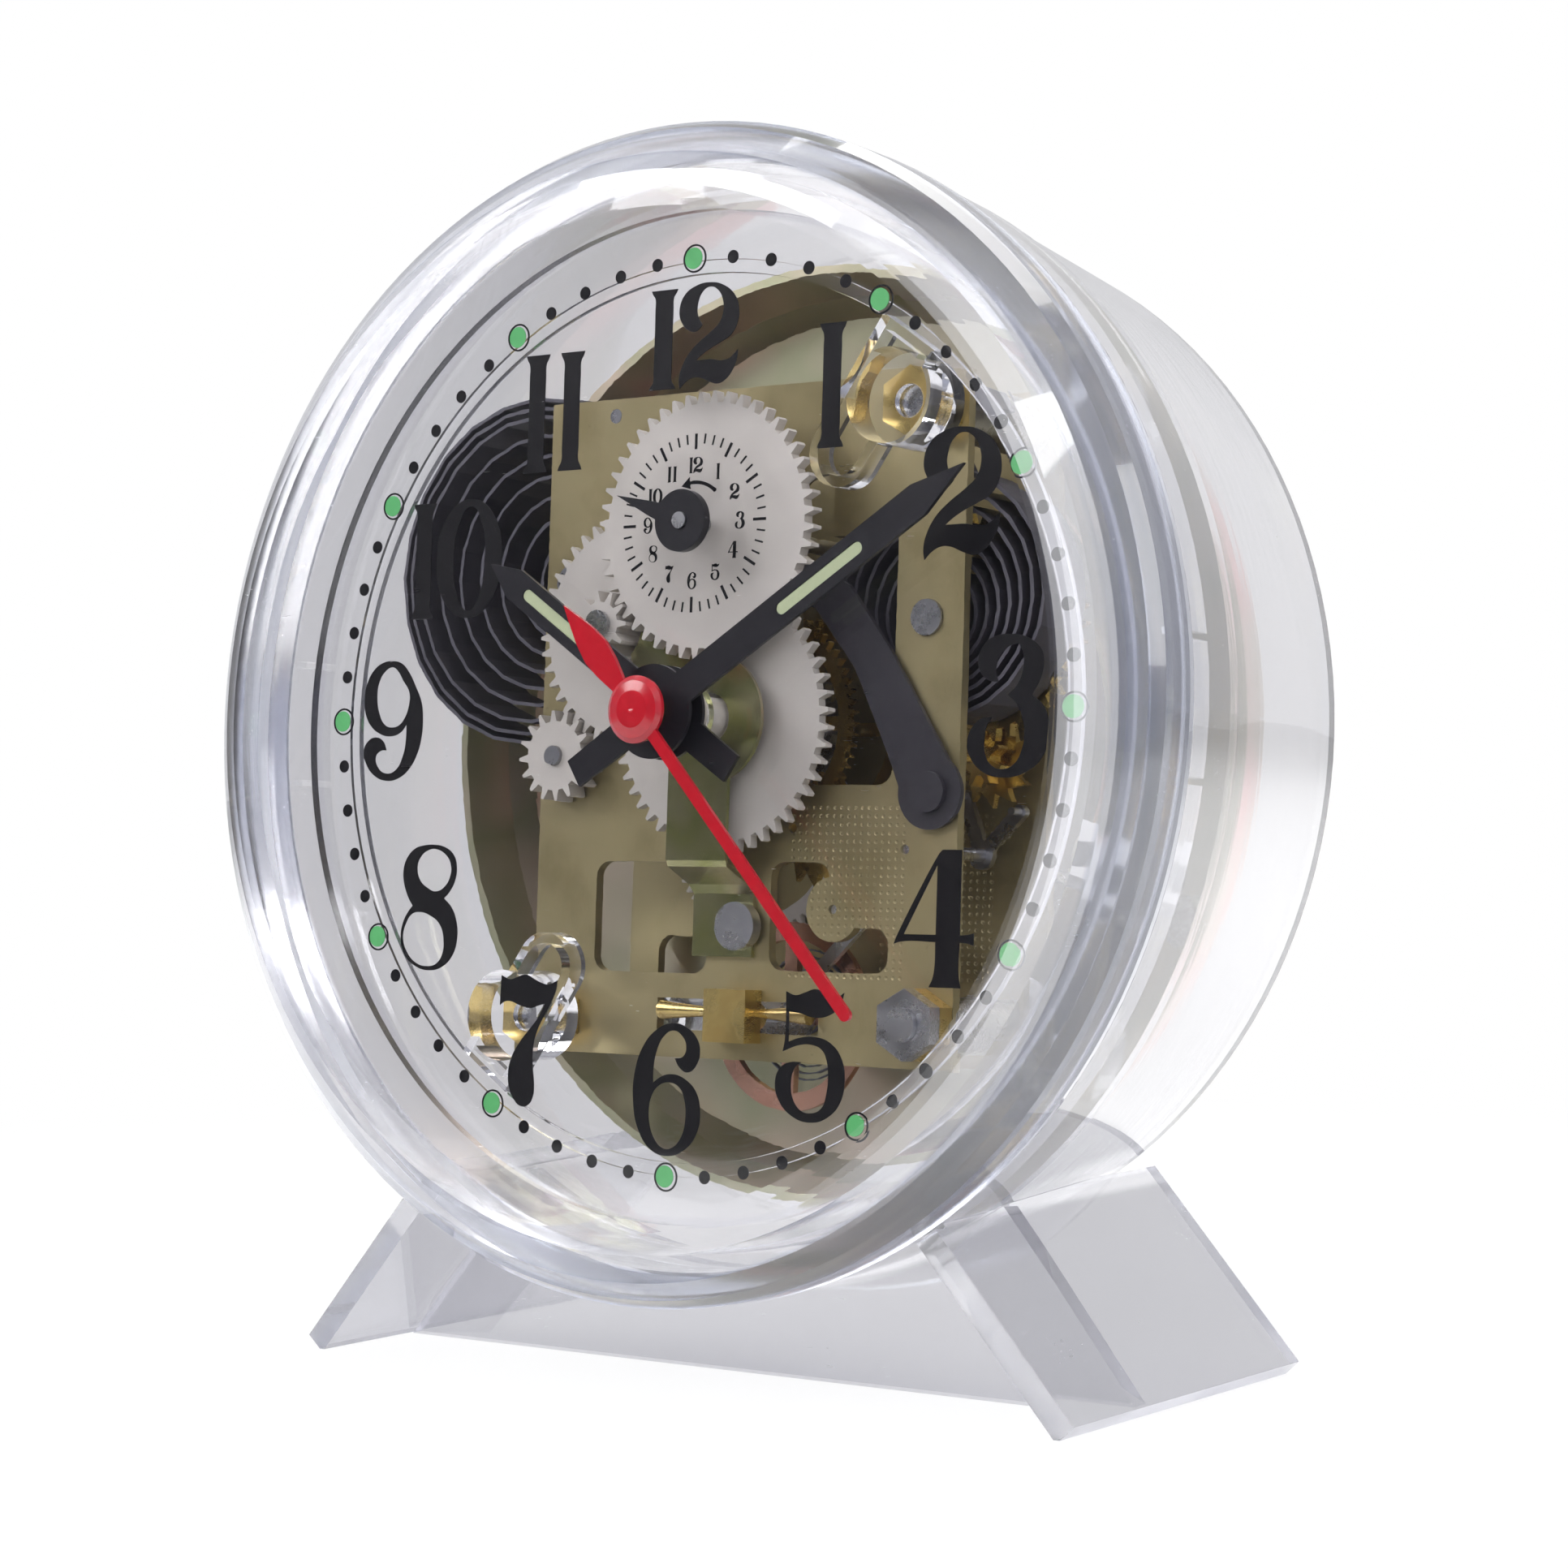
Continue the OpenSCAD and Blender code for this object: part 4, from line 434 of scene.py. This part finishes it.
# The marks: rings of dots and strokes, each printed at an equal step round a centre. The hour
# dots are luminous green in a black ring that the printing left slightly out of line.
def marks_tree():
    tree = bpy.data.node_groups.new("ring_of_marks", "GeometryNodeTree")
    face = tree.interface
    face.new_socket("Geometry", in_out="INPUT", socket_type="NodeSocketGeometry")
    for name, kind in (("Count", "Int"), ("Radius", "Float"), ("Step", "Int"), ("From", "Int"),
                       ("Ink", "Material")):
        face.new_socket(name, in_out="INPUT", socket_type="NodeSocket" + kind)
    face.new_socket("Geometry", in_out="OUTPUT", socket_type="NodeSocketGeometry")

    def add(kind, settings=(), sockets=()):
        made = tree.nodes.new(kind)
        for name, value in dict(settings).items():
            setattr(made, name, value)
        for name, value in dict(sockets).items():
            if isinstance(value, bpy.types.NodeSocket):
                tree.links.new(value, made.inputs[name])
            else:
                made.inputs[name].default_value = value
        return made

    given = add("NodeGroupInput").outputs
    ring = add("GeometryNodeMeshCircle", {}, {
        "Vertices": given["Count"], "Radius": given["Radius"]})
    index = add("GeometryNodeInputIndex").outputs[0]
    rest = add("ShaderNodeMath", {"operation": "MODULO"}, {0: index, 1: given["Step"]}).outputs[0]
    wanted = add("ShaderNodeMath", {"operation": "GREATER_THAN"}, {0: rest, 1: given["From"]})
    share = add("ShaderNodeMath", {"operation": "DIVIDE"}, {0: index, 1: given["Count"]}).outputs[0]
    angle = add("ShaderNodeMath", {"operation": "MULTIPLY"}, {0: share, 1: math.tau}).outputs[0]
    turn = add("ShaderNodeCombineXYZ", {}, {"Z": angle}).outputs[0]
    copies = add("GeometryNodeInstanceOnPoints", {}, {
        "Points": ring.outputs[0], "Selection": wanted.outputs[0], "Instance": given["Geometry"],
        "Rotation": turn})
    real = add("GeometryNodeRealizeInstances", {}, {0: copies.outputs[0]})
    inked = add("GeometryNodeSetMaterial", {}, {0: real.outputs[0], "Material": given["Ink"]})
    add("NodeGroupOutput", {}, {0: inked.outputs[0]})
    return tree


ring_of_marks = marks_tree()


def flat_mark(outlines, thickness):
    """One mark round the origin, with its edges closed."""
    sheet = bpy.data.curves.new("mark", "CURVE")
    sheet.dimensions, sheet.fill_mode, sheet.extrude = "2D", "BOTH", thickness / 2
    for points in outlines:
        spline = sheet.splines.new("POLY")
        spline.points.add(len(points) - 1)
        spline.use_cyclic_u = True
        for point, (x, y) in zip(spline.points, points):
            point.co = (x, y, 0, 1)
    return evaluated_mesh(bpy.data.objects.new("mark", sheet))


def print_ring(name, mark, centre, depth, ink, **inputs):
    """Count marks on a circle, of which those whose number modulo Step is over From are kept."""
    source = bpy.data.objects.new(name, mark)
    modifier = source.modifiers.new("ring", "NODES")
    modifier.node_group = ring_of_marks
    for item in ring_of_marks.interface.items_tree:
        if item.name in inputs:
            modifier[item.identifier] = inputs[item.name]
        elif item.name == "Ink":
            modifier[item.identifier] = ink
    mesh = evaluated_mesh(source)
    mesh.name = name
    mesh.transform(Matrix.Translation((centre[0], centre[1], 0)))
    stand_up(mesh, depth)
    return add_piece(name, mesh, "clock_case", "clear_plastic")


def disc(radius, sides=24, at=(0, 0)):
    return [(at[0] + radius * math.cos(a), at[1] + radius * math.sin(a))
            for a in (i * math.tau / sides for i in range(sides))]


def stroke(inner, outer, width):
    return [(inner, -width / 2), (outer, -width / 2), (outer, width / 2), (inner, width / 2)]


def luminous(name, colour, paler):
    f = material(name)
    grain = f.noise(f.place(), 0.15, 3)
    return f.done(f.surface(
        Base_Color=f.mix(grain, colour, paler), Roughness=0.6, Normal=f.bump(grain, 0.01)))


green_lume = luminous("green_lume", tone(54, 134, 70), tone(74, 154, 88))
print_ring("minute_dots", flat_mark([disc(0.6)], print_depth), (0, 0), -print_depth / 2, ink,
           Count=60, Radius=face_ring_r, Step=5, From=0)
print_ring("hour_dots", flat_mark([disc(0.98, 32)], print_depth), (-0.16, 0.04), -print_depth / 2,
           green_lume, Count=12, Radius=face_ring_r, Step=1, From=-1)
print_ring("hour_dot_rings", flat_mark([disc(1.3, 32), disc(1.13, 32)], print_depth), (0, 0),
           -print_depth, ink, Count=12, Radius=face_ring_r, Step=1, From=-1)

# The alarm scale, printed on the dial's back: four strokes to the hour round the alarm hand, with
# small upright figures and an arrow for the way that the hand is turned.
alarm_centre = (0, 17.3)
back_print = dial_back + print_depth
print_ring("alarm_hour_strokes", flat_mark([stroke(-0.7, 0.7, 0.26)], print_depth), alarm_centre,
           back_print, ink, Count=12, Radius=7.35, Step=1, From=-1)
print_ring("alarm_quarter_strokes", flat_mark([stroke(-0.45, 0.45, 0.16)], print_depth),
           alarm_centre, back_print, ink, Count=48, Radius=7.6, Step=4, From=0)


def small_figures():
    own = {"0": (figure_nought, (0, 0)), "1": (figure_one, (0, 0)), "2": (figure_two, two_centre),
           "3": (figure_three, (34.63, 0.2)), "4": (figure_four, (27.75, -17.63)),
           "5": (figure_five, (15.37, -29.67)), "6": (figure_six, (-0.22, -33.3)),
           "7": (figure_seven, (-16.65, -29.6)), "8": (figure_eight, (-29.1, -17.6)),
           "9": (figure_nine, (-34.63, 0))}
    width = {"0": 1.05, "1": 0.62}
    common_width = 0.95
    figures_r = 5.2
    size = {"2": 0.155}
    common_size = 0.13
    loops = []
    for hour in range(1, 13):
        a = math.radians(90 - 30 * hour)
        x = alarm_centre[0] + figures_r * math.cos(a)
        z = alarm_centre[1] + figures_r * math.sin(a)
        digits = str(hour)
        x -= sum(width.get(d, common_width) for d in digits) / 2
        for d in digits:
            step = width.get(d, common_width)
            shape, centre = own[d]
            scale = size.get(d, common_size)
            loops += placed(shape, (x + step / 2, z), centre, (scale, scale))
            x += step
    return loops


add_piece("alarm_figures",
          cut_flat("alarm_figures", small_figures(), dial_back, back_print, resolution=3),
          "clock_case", "clear_plastic", ink)


def arc_arrow(radius, start, end, width):
    """A bent arrow round the alarm hand, between two angles in degrees, with its head beyond."""
    x, z = alarm_centre
    steps, head_half, head_turn = 10, 0.55, 16

    def at(r, angle, *corner):
        return (x + r * math.cos(angle), z + r * math.sin(angle), *corner)

    turn = [math.radians(start + (end - start) * i / steps) for i in range(steps + 1)]
    tip = math.radians(end + math.copysign(head_turn, end - start))
    head = [at(radius + head_half, turn[-1], 1), at(radius, tip, 1),
            at(radius - head_half, turn[-1], 1)]
    return ([at(radius + width / 2, a) for a in turn] + head
            + [at(radius - width / 2, a) for a in reversed(turn)])


arrow = arc_arrow(3.65, 50, 98, 0.32)
add_piece("alarm_arrow", cut_flat("alarm_arrow", [arrow], dial_back, back_print), "clock_case",
          "clear_plastic", ink)


# The hands: blanked from thin steel and sprayed black, with luminous paste laid in the slits of
# the two main hands. The second hand is glossy red with a domed cap.
def black_lacquer():
    f = material("black_lacquer")
    peel = f.noise(f.place(), 0.5, 2)
    return f.done(f.surface(
        Base_Color=f.mix(peel, tone(15, 14, 17), tone(25, 24, 28)), Roughness=0.28 + peel * 0.12,
        Specular_IOR_Level=0.3, Normal=f.bump(peel, 0.01)))


def red_lacquer():
    f = material("red_lacquer")
    peel = f.noise(f.place(), 0.7, 2)
    return f.done(f.surface(
        Base_Color=f.mix(peel, tone(146, 12, 26), tone(166, 20, 32)), Roughness=0.16 + peel * 0.08,
        Normal=f.bump(peel, 0.008), Coat_Weight=0.4))


lacquer = black_lacquer()
coat(lacquer, "minute_hand", "hour_hand", "alarm_hand")
coat(red_lacquer(), "second_hand")

pale_lume = luminous("pale_lume", tone(132, 140, 106), tone(150, 157, 126))
hand_w = 3
slit_w = 0.38 * hand_w
hand_thick = 0.4
paste_gap = 0.03
end_steps = 8
# Degrees clockwise from 12, the hand's front, its length, and the slit's ends as shares of it
for name, body, clockwise, front, reach, low, high in (
        ("minute_hand_lume", "minutes", 58, -4.2, 38, 0.43, 0.67),
        ("hour_hand_lume", "hours", 303.9, -2.3, 25.4, 0.42, 0.78)):
    way = Matrix.Rotation(math.radians(90 - clockwise), 2)
    end_r = slit_w / 2 - paste_gap
    loop = []
    for x, start in ((reach * high, -90), (reach * low, 90)):
        for i in range(end_steps + 1):
            a = math.radians(start + 180 * i / end_steps)
            loop.append((*(way @ Vector((x + end_r * math.cos(a), end_r * math.sin(a)))), 1))
    add_piece(name, cut_flat(name, [loop], front + 0.08, front + hand_thick - 0.04), body,
              "black_steel", pale_lume)


# The motion works: four moulded nylon wheels, slightly waxy, and a brass cannon pinion, under a
# spring leaf with an olive passivated skin.
def nylon(name, colour, shade):
    f = material(name)
    where = f.place()
    cloud = f.noise(where, 4, 3)
    return f.done(f.surface(
        Base_Color=f.mix(cloud, colour, shade), Roughness=0.4 + f.noise(where, 0.5) * 0.15,
        Normal=f.bump(f.noise(where, 0.25, 2), 0.01), Subsurface_Weight=0.1,
        Subsurface_Radius=(0.001, 0.001, 0.001)))


coat(nylon("motion_nylon", tone(194, 188, 177), tone(176, 170, 160)), "hour_wheel", "minute_wheel",
     "alarm_wheel", "setting_pinion")
coat(nylon("third_nylon", tone(216, 210, 200), tone(200, 194, 184)), "third_wheel")


def turned_metal(name, light, dark, roughness, grain=(1, 1, 1)):
    """Metal with fine turning or drawing marks and a few tarnished places."""
    f = material(name)
    marks = f.noise(f.place(scale=grain), 0.12, 3)
    stain = f.noise(f.place(), 3.5, 3).step(0.42, 0.68)
    colour = f.mix(stain * 0.5 + marks * 0.2, light, dark)
    return f.done(f.surface(
        Base_Color=colour, Metallic=1.0, Roughness=roughness + marks * 0.06 + stain * 0.06,
        Normal=f.bump(marks, 0.0008)))


coat(turned_metal("gear_brass", tone(214, 190, 122), tone(176, 146, 84), 0.24, (3, 0.3, 3)),
     "cannon_pinion", "time_great_wheel", "intermediate_wheel", "centre_wheel",
     "fourth_wheel", "escape_wheel", "star_wheel", "alarm_great_wheel", "hex_spacers",
     "bearing_block")
coat(turned_metal("bright_steel", tone(186, 186, 188), tone(150, 150, 154), 0.24, (0.4, 3, 0.4)),
     *[n["node"] for n in frame["record"]["subparts"] if n["material_slot"] == "steel"])
coat(turned_metal("balance_copper", tone(214, 168, 146), tone(176, 128, 110), 0.22, (2, 2, 2)),
     "balance_wheel")
coat(turned_metal("cone_brass", tone(206, 182, 118), tone(120, 100, 70), 0.22, (2, 2, 2)),
     "balance_cones")
coat(turned_metal("key_plate", tone(206, 196, 150), tone(150, 138, 98), 0.26, (2, 2, 2)),
     "time_key", "alarm_key")


def passivated(name, base, second, third, roughness, size, relief, metallic):
    """A thin passivation film, whose colour shifts from place to place and with the angle."""
    f = material(name)
    where = f.place()
    film = f.noise(where, size, 2, 0.4)
    edge = f.node("ShaderNodeLayerWeight", {}, {"Blend": 0.35}, 1)
    hue = f.ramp(film * 0.75 + edge * 0.45 - 0.05, (0.2, base), (0.42, second), (0.58, base),
                 (0.72, third), (0.9, second))
    marks = f.noise(f.place(scale=(0.3, 3, 0.3)), 0.2, 2)
    return f.done(f.surface(
        Base_Color=hue, Metallic=metallic, Roughness=roughness + marks * 0.08,
        Normal=f.bump(marks, relief)))


coat(passivated("bell_film", tone(204, 186, 166), tone(170, 170, 138), tone(230, 162, 154),
                roughness=0.26, size=14, relief=0.0004, metallic=0.8), "bell")
coat(passivated("leaf_film", tone(184, 174, 148), tone(142, 144, 92), tone(196, 182, 166),
                roughness=0.2, size=9, relief=0.001, metallic=0.9), "leaf_spring")


def black_enamel():
    f = material("black_enamel")
    peel = f.noise(f.place(), 0.6, 2)
    return f.done(f.surface(
        Base_Color=f.mix(peel, tone(36, 34, 38), tone(52, 50, 54)), Roughness=0.3 + peel * 0.15,
        Normal=f.bump(peel, 0.01)))


coat(black_enamel(), "release_lever", "release_rivet")


# The movement frame: two blanked brass plates, passivated to a dull olive, brushed up and down,
# with a field of dimples pressed in the front one beside the balance window.
def plate_brass():
    f = material("plate_brass")
    where = f.place()
    brush = f.noise(f.place(scale=(6, 6, 0.25)), 0.4, 3)
    stain = f.noise(where, 7, 4).step(0.4, 0.7)
    grid = f.place(turn=(lean, 0, 0))
    x, z = (f.node("ShaderNodeSeparateXYZ", {}, {0: grid}, axis) for axis in (0, 2))
    dimple_pitch = 0.75
    across, up = (part.math("FRACT", part * (1 / dimple_pitch)) - 0.5 for part in (x, z))
    dimple = 1 - (across * across + up * up).step(0.01, 0.07)
    # The field's sides, in millimetres along the leaning plate from the frame's origin
    field = x.step(5.6, 6.2) * (1 - x.step(18.3, 18.9))
    field = field * z.step(35.1, 35.7) * (1 - z.step(50.4, 51))
    spots = f.noise(where, 0.35, 2).step(0.7, 0.76)
    colour = f.mix(stain, tone(158, 146, 108), tone(136, 124, 86))
    colour = f.mix(brush * 0.5, colour, tone(178, 164, 124))
    colour = f.mix(spots * 0.4, colour, tone(110, 98, 64))
    relief = brush * 0.1 - field * dimple
    return f.done(f.surface(
        Base_Color=colour, Metallic=0.85, Roughness=0.34 + brush * 0.14,
        Normal=f.bump(relief, 0.08)))


coat(plate_brass(), "front_plate", "back_plate")


# The springs: hardened strip, blued almost black, whose rolled edges rub bright.
def blued_strip(name, face, edge):
    f = material(name)
    # The strip's edges face the front, along the arbors, and its broad sides face round them
    facing = f.node("ShaderNodeTexCoord", output=1)
    along = f.node("ShaderNodeVectorMath", {"operation": "DOT_PRODUCT"},
                   {0: facing, 1: (0, math.cos(lean), -math.sin(lean))}, 1)
    edge_on = (along * along).step(0.5, 0.9)
    streak = f.noise(f.place(scale=(0.2, 0.2, 2)), 0.5, 3)
    return f.done(f.surface(
        Base_Color=f.mix(edge_on, face, f.mix(streak * 0.5, edge, face)), Metallic=0.35,
        Roughness=0.42 + streak * 0.15))


coat(blued_strip("blued_strip", tone(62, 60, 65), tone(86, 84, 90)), "time_mainspring",
     "alarm_mainspring")
coat(blued_strip("hair_strip", tone(70, 72, 84), tone(120, 122, 134)), "hairspring")


# Behind: black moulded knobs for setting the time and the alarm, and the alarm stop.
def black_moulding():
    f = material("black_moulding")
    where = f.place()
    return f.done(f.surface(
        Base_Color=f.mix(f.noise(where, 2), tone(28, 27, 29), tone(40, 39, 42)),
        Roughness=0.32 + f.noise(where, 0.5) * 0.12, Normal=f.bump(f.noise(where, 0.3, 2), 0.01)))


coat(black_moulding(), "setting_knob", "alarm_set_knob", "alarm_stop_pin")


# The set: a pale floor, a white backdrop, a black card behind the camera and four soft boxes.
# Only what the camera sees straight or through clear plastic is lit up to white.
def seen_straight(f):
    """1 for a ray from the camera that has gone through nothing but clear plastic."""
    seen, through, mirrored, scattered = (f.node("ShaderNodeLightPath", output=name) for name in (
        "Is Camera Ray", "Is Transmission Ray", "Glossy Depth", "Diffuse Depth"))
    turned = mirrored + scattered
    return f.node("ShaderNodeClamp", {}, {0: seen + through}) * (1 - turned.step(0, 1))


def backdrop_colour(f):
    """White, and a pale grey through the plastic, where the set isn't overexposed."""
    seen = f.node("ShaderNodeLightPath", output="Is Camera Ray")
    return f.mix(seen, (0.86, 0.855, 0.87), (1, 1, 1))


def pale_floor():
    f = material("pale_floor")
    where = f.place()
    matt = f.node("ShaderNodeBsdfDiffuse", {}, {
        "Color": f.mix(f.noise(where, 60, 2), (0.86, 0.86, 0.87), (0.88, 0.88, 0.88))})
    white = f.node("ShaderNodeEmission", {}, {"Color": backdrop_colour(f), "Strength": 1.0})
    x, y = (f.node("ShaderNodeSeparateXYZ", {}, {0: where}, axis) for axis in (0, 1))
    shadow_r, white_r = 110, 260
    far = (x * x + y * y).step(shadow_r ** 2, white_r ** 2)
    share = seen_straight(f) * (0.88 + far * 0.12)
    return f.done(f.node("ShaderNodeMixShader", {}, {0: share, 1: matt, 2: white}))


floor_mesh = bpy.data.meshes.new("floor")
half = 3
floor_mesh.from_pydata(
    [(-half, -half, 0), (half, -half, 0), (half, half, 0), (-half, half, 0)], [], [(0, 1, 2, 3)])
floor_mesh.materials.append(pale_floor())
floor = bpy.data.objects.new("floor", floor_mesh)
bpy.context.scene.collection.objects.link(floor)


def studio():
    world = bpy.data.worlds.new("studio")
    bpy.context.scene.world = world
    f = Finish(world)
    direction = f.node("ShaderNodeTexCoord", output=0)

    def towards(x, y, z, low, high):
        way = Vector((x, y, z)).normalized()
        return f.node("ShaderNodeVectorMath", {"operation": "DOT_PRODUCT"},
                      {0: direction, 1: tuple(way)}, 1).step(low, high)

    backdrop = towards(-0.59, 0.8, 0.15, 0.1, 0.6)
    room = f.mix(towards(0.1, -0.1, 1, 0.2, 0.9), (0.5, 0.53, 0.66), (0.6, 0.6, 0.64))
    # A black card, so that the dial mirrors nothing towards the camera
    room = f.mix(towards(-0.59, -0.8, 0.13, 0.8, 0.93), room, (0.03, 0.03, 0.035))
    around = f.mix(backdrop, room, (0.66, 0.66, 0.68))
    matt_ray = f.node("ShaderNodeLightPath", output="Is Diffuse Ray")
    lit = f.mix(matt_ray, around, (0.5, 0.5, 0.51))
    colour = f.mix(seen_straight(f), lit, backdrop_colour(f))
    background = f.node("ShaderNodeBackground", {}, {"Color": colour, "Strength": 1.0})
    f.done(background, "ShaderNodeOutputWorld")


studio()
clock_middle = Vector((0, 0, 0.06))
for name, at, size, energy in (
        ("key", (-0.55, -0.55, 0.65), 0.5, 6),
        ("fill", (0.75, -0.1, 0.4), 0.45, 2.2),
        ("rim", (0.44, -0.55, 0.66), 0.3, 3),
        ("top", (0.05, 0.25, 0.8), 0.6, 4.2)):
    lamp = bpy.data.lights.new(name, "AREA")
    lamp.size, lamp.energy = size, energy
    box = bpy.data.objects.new(name, lamp)
    box.location = at
    box.rotation_euler = (clock_middle - Vector(at)).to_track_quat("-Z", "Y").to_euler()
    bpy.context.scene.collection.objects.link(box)

# Light crosses many clear walls, and glances along the thick rim, before it leaves the clock
walls = 20
cycles = bpy.context.scene.cycles
cycles.max_bounces = cycles.transmission_bounces = cycles.glossy_bounces = walls
cycles.transparent_max_bounces = walls
